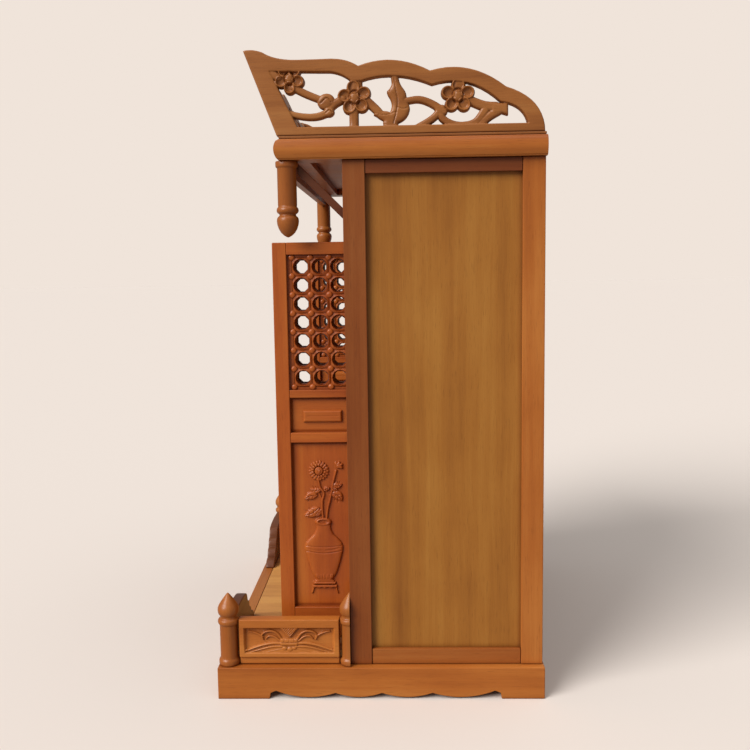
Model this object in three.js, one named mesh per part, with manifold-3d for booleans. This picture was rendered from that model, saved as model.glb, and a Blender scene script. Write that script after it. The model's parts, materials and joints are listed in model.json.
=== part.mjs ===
// A household altar cabinet: a small wooden shrine on a base with scalloped
// aprons.  Two pairs of folding lattice doors stand open behind a railed
// forecourt, and a pierced crest board leans out over the front.
// Millimetres, +Z up.  The origin is on the ground under the middle of the
// cabinet, the front looks along -Y, and +X, called right here, is on the right
// of someone who faces it.

import * as THREE from 'three';
import { mergeVertices } from 'three/addons/utils/BufferGeometryUtils.js';
import Module from 'manifold-3d';

const kernel = await Module();
kernel.setup();
const { Manifold, Mesh: SolidMesh } = kernel;

// ---------------------------------------------------------------- sizes

const HALF_W = 240;                 // half of the cabinet's width
const HALF_D = 176;                 // half of its depth
const TOP_Z = 680;                  // tips of the crest
const GAP = 0.3;                    // left between pieces that touch
const BOARD = 12;                   // thickness of the carved boards

const DECK_Z = 35;                  // top of the base
const APRON_T = 14;                 // thickness of the base boards
const DECK_T = 12;

const FACE_X = 231;                 // outer face of the side frames
const POST_W = 26.5;                // posts, across the cabinet
const POST_D = 23;                  // posts, front to back
const FRONT_Y = -32;                // front face of the front posts
const REAR_Y = 174.5;               // back face of the rear posts
const POST_TOP = 571;
const INNER_X = FACE_X - POST_W;    // inner faces of the posts

const ROOF_FRONT = -100.5;
const ROOF_BOTTOM = POST_TOP + GAP;
const ROOF_TOP = 592;
const CREST_Z = 595.3;              // the crest stands on the roof plate
const CREST_X = 233;                // outer face of the side crests
const CREST_RAIL = 604;             // top of the crest's bottom rail
const LEAN = Math.tan(20.6 * Math.PI / 180);

const NEWEL_X = 227;
const NEWEL_Y = -164.5;
const PENDANT_X = 222;
const PENDANT_Y = -89.5;

const HINGE_X = 202;                // door hinge axis
const HINGE_Y = -10;
const LEAF_W = 100;
const LEAF_T = 16;
const LEAF_BOTTOM = 53;
const LEAF_TOP = 489.5;
const FOLD_GAP = 2;                 // between two folded leaves
const STILE = 15;

const wood = (color, roughness) => new THREE.MeshStandardMaterial({ color, roughness, metalness: 0 });
const FRAME_WOOD = wood(0xb0622e, 0.42);
const CARVED_WOOD = wood(0x9a5a2c, 0.48);
const DOOR_WOOD = wood(0xa04f26, 0.42);
const PANEL_WOOD = wood(0xa87838, 0.5);
const DECK_WOOD = wood(0xc08a48, 0.5);
const BRASS = new THREE.MeshStandardMaterial({ color: 0xb08d4a, roughness: 0.35, metalness: 1 });

// ---------------------------------------------------------------- solids

// A closed geometry as a solid: shared corners merged, slivers at poles dropped.
function solidOf(geometry) {
  const bare = geometry.clone();
  bare.deleteAttribute('normal');
  bare.deleteAttribute('uv');
  const merged = mergeVertices(bare, 1e-4);
  const index = merged.index.array;
  const triangles = [];
  for (let i = 0; i < index.length; i += 3) {
    const [a, b, c] = [index[i], index[i + 1], index[i + 2]];
    if (a !== b && b !== c && a !== c) triangles.push(a, b, c);
  }
  return new Manifold(new SolidMesh({
    numProp: 3,
    vertProperties: new Float32Array(merged.attributes.position.array),
    triVerts: new Uint32Array(triangles),
  }));
}

function box([x0, x1], [y0, y1], [z0, z1]) {
  const block = new THREE.BoxGeometry(x1 - x0, y1 - y0, z1 - z0);
  block.translate((x0 + x1) / 2, (y0 + y1) / 2, (z0 + z1) / 2);
  return solidOf(block);
}

const AXIS_X = new THREE.Vector3(1, 0, 0);
const AXIS_Y = new THREE.Vector3(0, 1, 0);
const AXIS_Z = new THREE.Vector3(0, 0, 1);

// A shape drawn in (Y, Z) with its thickness along X.
function sidePlate(shape, [x0, x1], curveSegments = 4) {
  const plate = new THREE.ExtrudeGeometry(shape, { depth: x1 - x0, bevelEnabled: false, curveSegments });
  plate.applyMatrix4(new THREE.Matrix4().makeBasis(AXIS_Y, AXIS_Z, AXIS_X));
  plate.translate(x0, 0, 0);
  return solidOf(plate);
}

// A shape drawn in (X, Z) with its thickness along Y.
function frontPlate(shape, [y0, y1], curveSegments = 4) {
  const plate = new THREE.ExtrudeGeometry(shape, { depth: y1 - y0, bevelEnabled: false, curveSegments });
  plate.applyMatrix4(new THREE.Matrix4().makeBasis(AXIS_X, AXIS_Z, AXIS_Y.clone().negate()));
  plate.translate(0, y1, 0);
  return solidOf(plate);
}

// A turned piece on the Z axis from its [radius, height] profile.
function turned(profile, segments) {
  const points = profile.map(([r, z]) => new THREE.Vector2(r, z));
  const lathe = new THREE.LatheGeometry(points, segments);
  lathe.rotateX(Math.PI / 2);
  return solidOf(lathe);
}

const joined = (solids) => solids.reduce((whole, solid) => whole.add(solid));
const mirrored = (solid) => solid.mirror([1, 0, 0]);

function polygon(points) {
  return new THREE.Shape(points.map(([x, y]) => new THREE.Vector2(x, y)));
}

// A strip of even width along a smooth line, as a carved stem is.
function stem(points, width, steps = 2) {
  const line = new THREE.SplineCurve(points.map(([x, y]) => new THREE.Vector2(x, y)));
  const left = [];
  const right = [];
  for (let i = 0; i <= steps; i++) {
    const point = line.getPoint(i / steps);
    const along = line.getTangent(i / steps);
    const across = new THREE.Vector2(-along.y, along.x).multiplyScalar(width / 2);
    left.push(point.clone().add(across));
    right.unshift(point.clone().sub(across));
  }
  return new THREE.Shape([...right, ...left].reverse());
}

// A flower seen from the front, its edge waving once for each petal.
function blossom([x, y], radius, petals = 5, turn = 0.3) {
  const points = [];
  const count = petals * 3;
  for (let i = 0; i < count; i++) {
    const angle = i / count * 2 * Math.PI + turn;
    const r = i % 3 === 1 ? radius * 0.72 : radius;
    points.push([x + r * Math.cos(angle), y + r * Math.sin(angle)]);
  }
  return polygon(points);
}

const disc = ([x, y], radius, sides = 8) => polygon(Array.from({ length: sides }, (_, i) => {
  const angle = (i + 0.5) / sides * 2 * Math.PI;
  return [x + radius * Math.cos(angle), y + radius * Math.sin(angle)];
}));

// ---------------------------------------------------------------- the assembly

const cabinet = new THREE.Group();

function addPiece(name, solid, material, parent = cabinet) {
  const { vertProperties, triVerts } = solid.getMesh();
  const geometry = new THREE.BufferGeometry();
  geometry.setAttribute('position', new THREE.BufferAttribute(new Float32Array(vertProperties), 3));
  geometry.setIndex(new THREE.BufferAttribute(new Uint32Array(triVerts), 1));
  geometry.computeVertexNormals();
  const mesh = new THREE.Mesh(geometry, material);
  mesh.name = name;
  parent.add(mesh);
  return mesh;
}

// A piece made for the right-hand side, and its mirror image for the left.
function addPair(name, solid, material) {
  addPiece(`${name}_right`, solid, material);
  addPiece(`${name}_left`, mirrored(solid), material);
}

// ---------------------------------------------------------------- base

// The lower edge of an apron: a foot, a run of hanging lobes, and a foot.
const LOBE_DROP = 1.8;              // lowest point of a lobe above the ground
const CUSP_Z = 6.5;
const NOTCH_Z = 9;

function apronShape(start, end, footStart, footEnd, lobes) {
  const shape = new THREE.Shape();
  shape.moveTo(start, 0);
  shape.lineTo(start + footStart, 0);
  shape.lineTo(start + footStart + 1, CUSP_Z);
  const first = start + footStart + 7;
  const last = end - footEnd - 7;
  shape.lineTo(first, NOTCH_Z);
  const total = lobes.reduce((sum, lobe) => sum + lobe, 0);
  let at = first;
  lobes.forEach((lobe, i) => {
    const next = at + lobe / total * (last - first);
    const z = i === lobes.length - 1 ? NOTCH_Z : CUSP_Z;
    const from = i === 0 ? NOTCH_Z : CUSP_Z;
    const low = 2 * LOBE_DROP - (from + z) / 2;
    shape.quadraticCurveTo((at + next) / 2, low, next, z);
    at = next;
  });
  shape.lineTo(end - footEnd - 1, CUSP_Z);
  shape.lineTo(end - footEnd, 0);
  shape.lineTo(end, 0);
  shape.lineTo(end, DECK_Z);
  shape.lineTo(start, DECK_Z);
  return shape;
}

const sideApron = apronShape(-HALF_D, HALF_D, 56, 46, [65, 51, 55, 68]);
addPair('base_apron', sidePlate(sideApron, [HALF_W - APRON_T, HALF_W], 5), FRAME_WOOD);

const frontApronEnd = HALF_W - APRON_T - GAP;
const frontApron = apronShape(-frontApronEnd, frontApronEnd, 46, 46, [66, 56, 52, 52, 56, 66]);
addPiece('base_apron_front', frontPlate(frontApron, [-HALF_D, -HALF_D + APRON_T]), FRAME_WOOD);
addPiece('base_apron_back', frontPlate(frontApron, [HALF_D - APRON_T, HALF_D]), FRAME_WOOD);

const deckEndX = HALF_W - APRON_T - GAP;
const deckEndY = HALF_D - APRON_T - GAP;
addPiece('deck_board', box([-deckEndX, deckEndX], [-deckEndY, deckEndY], [DECK_Z - DECK_T, DECK_Z]), DECK_WOOD);

// ---------------------------------------------------------------- forecourt rail

// Newel post: foot ring, shaft, collar and a pointed bud.
const NEWEL_R = 11.5;
const SHAFT_R = 9.7;
const NEWEL_PROFILE = [
  [0, 0], [NEWEL_R - 0.5, 0], [NEWEL_R, 5], [SHAFT_R, 9], [SHAFT_R, 45],
  [NEWEL_R, 48.5], [NEWEL_R - 0.3, 52], [SHAFT_R - 0.6, 55], [NEWEL_R, 61], [8, 70], [0, 80],
];
const newel = turned(NEWEL_PROFILE, 10).translate([NEWEL_X, NEWEL_Y, DECK_Z + GAP]);
addPair('newel', newel, FRAME_WOOD);

const halfNewel = turned(NEWEL_PROFILE, 10).translate([NEWEL_X, FRONT_Y - GAP, DECK_Z + GAP])
  .intersect(box([NEWEL_X - 20, NEWEL_X + 20], [FRONT_Y - 30, FRONT_Y - GAP], [DECK_Z, 130]));
addPair('half_newel', halfNewel, FRAME_WOOD);

// The carved rail between the two: a sunk field with a knot and swags in it.
const RAIL_Y = [NEWEL_Y + NEWEL_R + GAP, FRONT_Y - NEWEL_R - 2 * GAP];
const RAIL_TOP = 86;
const RAIL_X = [CREST_X - BOARD, CREST_X];
const FIELD_DEPTH = 3.5;

function carvedRail() {
  const [y0, y1] = RAIL_Y;
  const middle = (y0 + y1) / 2;
  const plinth = box([CREST_X - 3, CREST_X + 1], [y0 - 1, y1 + 1], [DECK_Z, 44]);
  const field = box([CREST_X - FIELD_DEPTH, CREST_X + 1], [y0 + 5, y1 - 5], [47, 77]);
  const blank = box(RAIL_X, RAIL_Y, [DECK_Z + GAP, RAIL_TOP]).subtract(plinth).subtract(field);
  const raised = [CREST_X - FIELD_DEPTH - 1, CREST_X - 1];
  const carving = [polygon([[middle - 10, 78], [middle, 68], [middle + 10, 78]]), disc([middle, 61.5], 7.5, 8)];
  for (const side of [-1, 1]) {
    carving.push(stem([[middle + side * 49, 49], [middle + side * 30, 55], [middle + side * 4, 60]], 3.5));
    carving.push(stem([[middle + side * 4, 63], [middle + side * 15, 70], [middle + side * 27, 64]], 3, 3));
  }
  return joined([blank, ...carving.map((shape) => sidePlate(shape, raised))]);
}
addPair('side_rail', carvedRail(), CARVED_WOOD);

// The wing beside each corner newel steps down along the front edge of the deck.
const WING_Y = [-172.5, -172.5 + BOARD];
const WING_STEPS = [[141, 82], [129, 69], [118, 57], [106, 46], [88, 36.5]];

function wingShape() {
  const inner = NEWEL_X - NEWEL_R - GAP;
  const shape = new THREE.Shape();
  shape.moveTo(inner, DECK_Z + GAP);
  shape.lineTo(inner, 83);
  shape.quadraticCurveTo(168, 87, ...WING_STEPS[0]);
  WING_STEPS.slice(1).forEach(([x, z], i) => {
    const [fromX, fromZ] = WING_STEPS[i];
    shape.quadraticCurveTo((fromX + x) / 2 - 4, (fromZ + z) / 2 + 5, x, z);
  });
  shape.lineTo(WING_STEPS.at(-1)[0], DECK_Z + GAP);
  return shape;
}
addPair('wing', frontPlate(wingShape(), WING_Y, 3), CARVED_WOOD);

// ---------------------------------------------------------------- body

const PANEL_X = [216, 224];         // side panels, between their faces
const GROOVE = 5;                   // how deep a panel enters its frame
const RAIL_T = 20;                  // side rails, across the cabinet
const TOP_RAIL = [557, POST_TOP];
const BOTTOM_RAIL = [DECK_Z + GAP, 52];
const BACK_Y = [160, 168];          // back panel

const grow = ([low, high], by) => [low - by, high + by];
const postX = [INNER_X, FACE_X];
const postZ = [DECK_Z + GAP, POST_TOP];
const frontPostY = [FRONT_Y, FRONT_Y + POST_D];
const rearPostY = [REAR_Y - POST_D, REAR_Y];
const grooveX = grow(PANEL_X, GAP);

const frontPost = box(postX, frontPostY, postZ)
  .subtract(box(grooveX, [frontPostY[1] - GROOVE - GAP, frontPostY[1] + 1], grow(postZ, 1)));
addPair('front_post', frontPost, FRAME_WOOD);

const rearPost = box(postX, rearPostY, postZ)
  .subtract(box(grooveX, [rearPostY[0] - 1, rearPostY[0] + GROOVE + GAP], grow(postZ, 1)))
  .subtract(box([INNER_X - 1, INNER_X + GROOVE + GAP], grow(BACK_Y, GAP), grow(postZ, 1)));
addPair('rear_post', rearPost, FRAME_WOOD);

const railX = [FACE_X - 1 - RAIL_T, FACE_X - 1];
const railY = [frontPostY[1] + GAP, rearPostY[0] - GAP];
const topRail = box(railX, railY, TOP_RAIL)
  .subtract(box(grooveX, grow(railY, 1), [TOP_RAIL[0] - 1, TOP_RAIL[0] + GROOVE + GAP]));
const bottomRail = box(railX, railY, BOTTOM_RAIL)
  .subtract(box(grooveX, grow(railY, 1), [BOTTOM_RAIL[1] - GROOVE - GAP, BOTTOM_RAIL[1] + 1]));
addPair('side_top_rail', topRail, FRAME_WOOD);
addPair('side_bottom_rail', bottomRail, FRAME_WOOD);
addPair('side_panel', box(PANEL_X, grow(railY, GROOVE), [BOTTOM_RAIL[1] - GROOVE, TOP_RAIL[0] + GROOVE]), PANEL_WOOD);

const backEnd = INNER_X + GROOVE;
addPiece('back_panel', box([-backEnd, backEnd], BACK_Y, postZ), PANEL_WOOD);

const betweenPosts = [-INNER_X + GAP, INNER_X - GAP];
addPiece('threshold', box(betweenPosts, [FRONT_Y + 2, HINGE_Y - 1], [DECK_Z + GAP, 50.5]), FRAME_WOOD);

// Transom over the doors: a header with three sunk fields and a flower in each.
const TRANSOM_Z = [492, POST_TOP];
const TRANSOM_BORDER = 12;
function transom() {
  const front = FRONT_Y + 1;
  let solid = box(betweenPosts, [front, HINGE_Y - 1], TRANSOM_Z);
  const fieldZ = grow(TRANSOM_Z, -TRANSOM_BORDER);
  const span = betweenPosts[1] - betweenPosts[0] - TRANSOM_BORDER;
  const pitch = span / 3;
  for (let i = 0; i < 3; i++) {
    const x0 = betweenPosts[0] + TRANSOM_BORDER + i * pitch;
    const x1 = x0 + pitch - TRANSOM_BORDER;
    solid = solid.subtract(box([x0, x1], [front - 1, front + 5], fieldZ));
    const flower = blossom([(x0 + x1) / 2, (fieldZ[0] + fieldZ[1]) / 2], 21, 4);
    solid = solid.add(frontPlate(flower, [front + 1.5, front + 6]));
  }
  return solid;
}
addPiece('transom', transom(), CARVED_WOOD);

// ---------------------------------------------------------------- roof

// A slab whose front and ends are moulded; its back is flat.
function mouldedSlab(profile, rearY) {
  const rings = profile.map(([z, inset]) => [
    [-HALF_W + inset, ROOF_FRONT + inset, z], [HALF_W - inset, ROOF_FRONT + inset, z],
    [HALF_W - inset, rearY, z], [-HALF_W + inset, rearY, z],
  ]);
  const index = [0, 2, 1, 0, 3, 2];
  for (let ring = 0; ring < rings.length - 1; ring++) {
    for (let side = 0; side < 4; side++) {
      const a = ring * 4 + side;
      const b = ring * 4 + (side + 1) % 4;
      index.push(a, b, b + 4, a, b + 4, a + 4);
    }
  }
  const last = (rings.length - 1) * 4;
  index.push(last, last + 1, last + 2, last, last + 2, last + 3);
  const geometry = new THREE.BufferGeometry();
  geometry.setAttribute('position', new THREE.Float32BufferAttribute(rings.flat(2), 3));
  geometry.setIndex(index);
  return solidOf(geometry);
}

const ROOF_REAR = HALF_D - 0.5;
const NOSING = [[ROOF_BOTTOM, 4], [574, 2.2], [578, 0.7], [583, 0], [587, 0.6], [590.3, 2.2], [ROOF_TOP, 4.5]];
const soffit = box([-INNER_X, INNER_X], [-67, FRONT_Y - 1], [ROOF_BOTTOM - 1, ROOF_BOTTOM + 8]);
addPiece('roof_slab', mouldedSlab(NOSING, ROOF_REAR).subtract(soffit), FRAME_WOOD);

const plateX = HALF_W - 5;
addPiece('roof_plate', box([-plateX, plateX], [ROOF_FRONT + 5, ROOF_REAR - 1], [ROOF_TOP + GAP, CREST_Z - GAP]), FRAME_WOOD);

// Pendants hang from the roof's front corners, joined by a slender lintel.
const PENDANT_R = 11.5;
const PENDANT_PROFILE = [
  [0, -77], [5, -73.5], [PENDANT_R - 1.5, -67], [PENDANT_R, -60], [8.5, -54.8], [PENDANT_R, -50],
  [10, -44], [10, -7], [PENDANT_R, -5], [PENDANT_R, 0], [0, 0],
];
const pendant = turned(PENDANT_PROFILE, 10).translate([PENDANT_X, PENDANT_Y, POST_TOP]);
addPair('pendant', pendant, FRAME_WOOD);

const LINTEL_BOTTOM = 557;
const lintelEnd = PENDANT_X - PENDANT_R - GAP;
addPiece('lintel', box([-lintelEnd, lintelEnd], [PENDANT_Y - 4, PENDANT_Y + 4], [LINTEL_BOTTOM, POST_TOP]), FRAME_WOOD);

// A raking brace from each front post up to the roof.
const BRACE_FOOT = 512;
const braceHead = PENDANT_Y + PENDANT_R - 1;
const braceRise = FRONT_Y - GAP - braceHead;
const brace = sidePlate(polygon([
  [FRONT_Y - GAP, BRACE_FOOT], [FRONT_Y - GAP, BRACE_FOOT + 11.3],
  [braceHead, BRACE_FOOT + braceRise + 11.3], [braceHead, BRACE_FOOT + braceRise],
]), [210, 218]);
addPair('brace', brace, FRAME_WOOD);

// ---------------------------------------------------------------- crest

const frontEdge = (z) => -99.4 - (z - 600) * LEAN;

function pierced(outline, opening) {
  outline.holes.push(opening);
  return outline;
}

function sideCrestFrame() {
  const outline = new THREE.Shape();
  outline.moveTo(frontEdge(CREST_Z), CREST_Z);
  outline.lineTo(173.5, CREST_Z);
  outline.quadraticCurveTo(172.5, 628, 134, 640);
  outline.quadraticCurveTo(98, 668, 58, 657);
  outline.quadraticCurveTo(22, 676, -14, 663);
  outline.quadraticCurveTo(-26, 671, -44, 670.5);
  outline.lineTo(-74, 670);
  outline.quadraticCurveTo(-98, 670, -110, 678);
  outline.quadraticCurveTo(-121, 682, frontEdge(TOP_Z - 1.5), TOP_Z - 1.5);
  const opening = new THREE.Path();
  opening.moveTo(-76, CREST_RAIL);
  opening.lineTo(-103, 659);
  opening.lineTo(-42, 657.5);
  opening.quadraticCurveTo(-30, 656, -21, 648);
  opening.lineTo(-11, 648);
  opening.quadraticCurveTo(22, 659, 60, 643);
  opening.quadraticCurveTo(98, 654, 129, 625);
  opening.quadraticCurveTo(152, 622, 156, CREST_RAIL);
  return pierced(outline, opening);
}

// The leaf that stands on the rail and curls up to the band.
const CREST_LEAF = [
  [12, 602], [11, 608], [1, 614], [18, 619], [15, 636], [19, 641], [19, 652],
  [26, 652], [33, 637], [38, 623], [35, 614], [25, 602],
];

function sideCrestCarving() {
  return [
    disc([-83, 652], 16), disc([-97, 654], 8, 6),
    stem([[-78, 643], [-48, 629]], 7, 1), disc([-46, 627], 9.5), disc([-44, 619], 5.5, 6),
    stem([[-44, 620], [-62, 615], [-84, 618]], 6.5), stem([[-45, 621], [-30, 631]], 8, 1),
    blossom([-18, 632], 17), stem([[-16, 640], [-16, 652]], 11, 1), stem([[-19, 625], [-19, 601]], 10, 1),
    stem([[-6, 629], [6, 620], [20, 611]], 9, 2), polygon([...CREST_LEAF].reverse()),
    stem([[33, 629], [50, 629], [66, 620], [72, 617]], 7),
    stem([[70, 620], [59, 609], [44, 601]], 8, 2),
    blossom([86, 632], 17), stem([[87, 640], [87, 651]], 14, 1),
    stem([[66, 620], [74, 607], [91, 602.5], [106, 607], [114, 618]], 8, 4),
    stem([[98, 627], [118, 621], [137, 618]], 10, 2), stem([[124, 617], [106, 601]], 8, 1),
  ];
}

const crestSideX = [CREST_X - BOARD, CREST_X];
const sideCrest = joined([
  sidePlate(sideCrestFrame(), crestSideX),
  ...sideCrestCarving().map((shape) => sidePlate(shape, crestSideX)),
]);
addPair('crest_side', sideCrest, CARVED_WOOD);

// The front crest stands between the side crests and leans out with them.
const CREST_END = CREST_X - BOARD - GAP;

function frontCrestFrame() {
  const outline = new THREE.Shape();
  const opening = new THREE.Path();
  outline.moveTo(-CREST_END, CREST_Z);
  outline.lineTo(CREST_END, CREST_Z);
  outline.lineTo(CREST_END, TOP_Z - 1.5);
  opening.moveTo(-CREST_END + 20, CREST_RAIL);
  opening.lineTo(-CREST_END + 20, 656);
  const cusps = [[186, 668], [112, 661], [42, 665]];
  outline.quadraticCurveTo(205, 682, ...cusps[0]);
  outline.quadraticCurveTo(150, 674, ...cusps[1]);
  outline.quadraticCurveTo(78, 680, ...cusps[2]);
  outline.quadraticCurveTo(0, 694, -cusps[2][0], cusps[2][1]);
  outline.quadraticCurveTo(-78, 680, -cusps[1][0], cusps[1][1]);
  outline.quadraticCurveTo(-150, 674, -cusps[0][0], cusps[0][1]);
  outline.quadraticCurveTo(-205, 682, -CREST_END, TOP_Z - 1.5);
  opening.quadraticCurveTo(-150, 660, -112, 647);
  opening.quadraticCurveTo(-78, 664, -42, 651);
  opening.quadraticCurveTo(0, 676, 42, 651);
  opening.quadraticCurveTo(78, 664, 112, 647);
  opening.quadraticCurveTo(150, 660, CREST_END - 20, 656);
  opening.lineTo(CREST_END - 20, CREST_RAIL);
  return pierced(outline, opening);
}

function frontCrestCarving() {
  const shapes = [blossom([0, 634], 20, 5, Math.PI / 2), stem([[0, 646], [0, 665]], 12, 1), stem([[0, 622], [0, 601]], 9, 1)];
  for (const s of [-1, 1]) {
    shapes.push(
      blossom([s * 74, 632], 16), blossom([s * 158, 632], 16),
      stem([[s * 14, 628], [s * 38, 617], [s * 62, 626]], 7), stem([[s * 40, 618], [s * 52, 601]], 7, 1),
      stem([[s * 40, 619], [s * 34, 634], [s * 41, 655]], 7, 2), stem([[s * 152, 620], [s * 134, 601]], 7, 1),
      stem([[s * 86, 636], [s * 112, 625], [s * 144, 630]], 7), stem([[s * 112, 625], [s * 112, 650]], 8, 1),
      stem([[s * 168, 634], [s * 204, 627]], 7, 1), stem([[s * 160, 642], [s * 163, 658]], 8, 1),
    );
  }
  return shapes;
}

const crestFrontY = [frontEdge(600), frontEdge(600) + 12.8];
const leaning = [1, 0, 0, 0, 0, 1, 0, 0, 0, -LEAN, 1, 0, 0, 600 * LEAN, 0, 1];
const frontCrest = joined([
  frontPlate(frontCrestFrame(), crestFrontY, 3),
  ...frontCrestCarving().map((shape) => frontPlate(shape, crestFrontY)),
]).transform(leaning);
addPiece('crest_front', frontCrest, CARVED_WOOD);

// ---------------------------------------------------------------- doors

// A leaf stands in its own frame: the post-side edge is at y = 0, the free edge
// at y = -LEAF_W, the carved face is at x = 0 and the back at x = -LEAF_T.
const TOP_FIELD = [331.6, 476.5];
const TABLET = [284.7, 323];
const VASE_FIELD = [88.4, 273.8];
const LIP = 5;                      // frame in front of the rebated panels
const REBATE = 3;
const fieldY = [-LEAF_W + STILE, -STILE];

const HINGE_R = 2;
const HINGE_H = 34;
const HINGE_TIP = 2;
const HINGES = { lower: 112, upper: 430 };
const hingeZ = (z) => [z - HINGE_H / 2, z + HINGE_H / 2];

function leafFrame(atPost) {
  let solid = box([-LEAF_T, 0], [-LEAF_W, 0], [LEAF_BOTTOM, LEAF_TOP]);
  for (const field of [TOP_FIELD, TABLET, VASE_FIELD]) {
    solid = solid.subtract(box([-LEAF_T - 1, 1], fieldY, field))
      .subtract(box([-LEAF_T - 1, -LIP], grow(fieldY, REBATE), grow(field, REBATE)));
  }
  for (const z of Object.values(HINGES)) {
    const cut = grow(hingeZ(z), HINGE_TIP + GAP);
    solid = solid.subtract(box([-LEAF_T - 1, -LEAF_T + 2], [-LEAF_W - 1, -LEAF_W + HINGE_R + 1], cut));
    if (atPost) solid = solid.subtract(box([-HINGE_R - 1, 1], [-HINGE_R - 1, 1], cut));
  }
  return solid;
}

// A panel lies in its rebate, with a field that rises through the opening.
function leafPanel(field, rise) {
  const back = box([-LEAF_T + 3, -LIP - GAP], grow(fieldY, REBATE - GAP), grow(field, REBATE - GAP));
  return back.add(box([-LIP - 1, -LIP - GAP + rise], grow(fieldY, -GAP), grow(field, -GAP)));
}

const LATTICE_COLS = 3;
const LATTICE_ROWS = 7;
const HOLE_R = 8;
function lattice() {
  const pitch = 19.9;
  const midY = (fieldY[0] + fieldY[1]) / 2;
  const midZ = (TOP_FIELD[0] + TOP_FIELD[1]) / 2;
  const holes = [];
  for (let col = 0; col < LATTICE_COLS; col++) {
    for (let row = 0; row < LATTICE_ROWS; row++) {
      const y = midY + (col - (LATTICE_COLS - 1) / 2) * pitch;
      const z = midZ + (row - (LATTICE_ROWS - 1) / 2) * pitch;
      holes.push(sidePlate(disc([y, z], HOLE_R / Math.cos(Math.PI / 8), 8), [-LEAF_T - 1, 1]));
    }
  }
  return leafPanel(TOP_FIELD, 3.2).subtract(joined(holes));
}

function tablet() {
  const bar = box([-LIP - 1, -LIP + 3], [-LEAF_W / 2 - 21, -LEAF_W / 2 + 21], [296.5, 309]);
  return leafPanel(TABLET, 0.2).add(bar);
}

// The vase panel: a vase on a stand with two chrysanthemums, in low relief.
const VASE_PROFILE = [
  [10.6, 114.5], [10, 121], [15, 127], [20.8, 152], [20.5, 159], [10, 170.6], [7.7, 178], [8.2, 185], [4.5, 188.5],
];
function vasePanel() {
  const y = -LEAF_W / 2 - 1.5;
  const vase = polygon([
    ...VASE_PROFILE.map(([r, z]) => [y + r, z]),
    ...[...VASE_PROFILE].reverse().map(([r, z]) => [y - r, z]),
  ]);
  const stand = polygon([
    [y - 14, 102.5], [y - 12, 102.5], [y - 11, 109], [y + 11, 109], [y + 12, 102.5], [y + 14, 102.5], [y + 14, 113], [y - 14, 113],
  ]);
  const low = [
    stem([[y, 187], [y - 1, 205], [y - 4, 234]], 2.6), stem([[y + 3, 187], [y + 8, 212], [y + 17, 245]], 2.6),
    stem([[y - 2, 204], [y - 20, 192]], 7, 1), stem([[y - 2, 224], [y - 20, 211]], 8, 1),
    stem([[y + 8, 214], [y + 21, 207]], 7, 1), stem([[y + 11, 231], [y + 20, 227]], 5, 1),
  ];
  return joined([
    leafPanel(VASE_FIELD, 0.2),
    ...[vase, stand].map((shape) => sidePlate(shape, [-LIP - 1, -LIP + 3.2])),
    ...[disc([y - 4, 241.5], 10.5, 10), disc([y + 18, 247.5], 5, 7), ...low].map((shape) => sidePlate(shape, [-LIP - 1, -LIP + 2.4])),
  ]);
}

// A turned pin knuckle with its flap let into the edge of the leaf.
function hinge(z) {
  const [z0, z1] = hingeZ(z);
  return turned([[0, z0 - HINGE_TIP], [HINGE_R, z0], [HINGE_R, z1], [0, z1 + HINGE_TIP]], 6);
}

const LEAF_PIECES = [
  ['frame', DOOR_WOOD, leafFrame], ['lattice', DOOR_WOOD, lattice], ['tablet', DOOR_WOOD, tablet],
  ['vase_panel', DOOR_WOOD, vasePanel],
];
const foldX = -LEAF_T - FOLD_GAP / 2;
const foldedOver = (solid) => solid.mirror([1, 0, 0]).translate([2 * foldX, 0, 0]);

// The outer leaf hangs on the post; the inner one is folded flat on its back.
for (const [side, sign] of [['right', 1], ['left', -1]]) {
  const pair = new THREE.Group();
  pair.position.set(sign * HINGE_X, HINGE_Y, 0);
  cabinet.add(pair);
  const handed = (solid) => (sign > 0 ? solid : mirrored(solid));
  for (const [piece, material, make] of LEAF_PIECES) {
    addPiece(`outer_door_${side}_${piece}`, handed(make(true)), material, pair);
    addPiece(`inner_door_${side}_${piece}`, handed(foldedOver(make(false))), material, pair);
  }
  for (const [height, z] of Object.entries(HINGES)) {
    addPiece(`post_hinge_${side}_${height}`, handed(hinge(z)), BRASS, pair);
    addPiece(`fold_hinge_${side}_${height}`, handed(hinge(z).translate([foldX, -LEAF_W, 0])), BRASS, pair);
  }
}

export default cabinet;
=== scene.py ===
# %% [markdown]
# # A household altar cabinet
#
# This lesson dresses a small wooden shrine. Its solids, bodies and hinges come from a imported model, which
# gives every place and size. Here each piece gets the surface that a carver and a polisher would leave on
# it: eased edges, turned posts, pierced crests, folding lattice doors with a vase of flowers, and stained,
# varnished wood.
#
# Lengths in this script are millimetres, except where a value goes straight to Blender, which works in
# metres.

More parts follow.
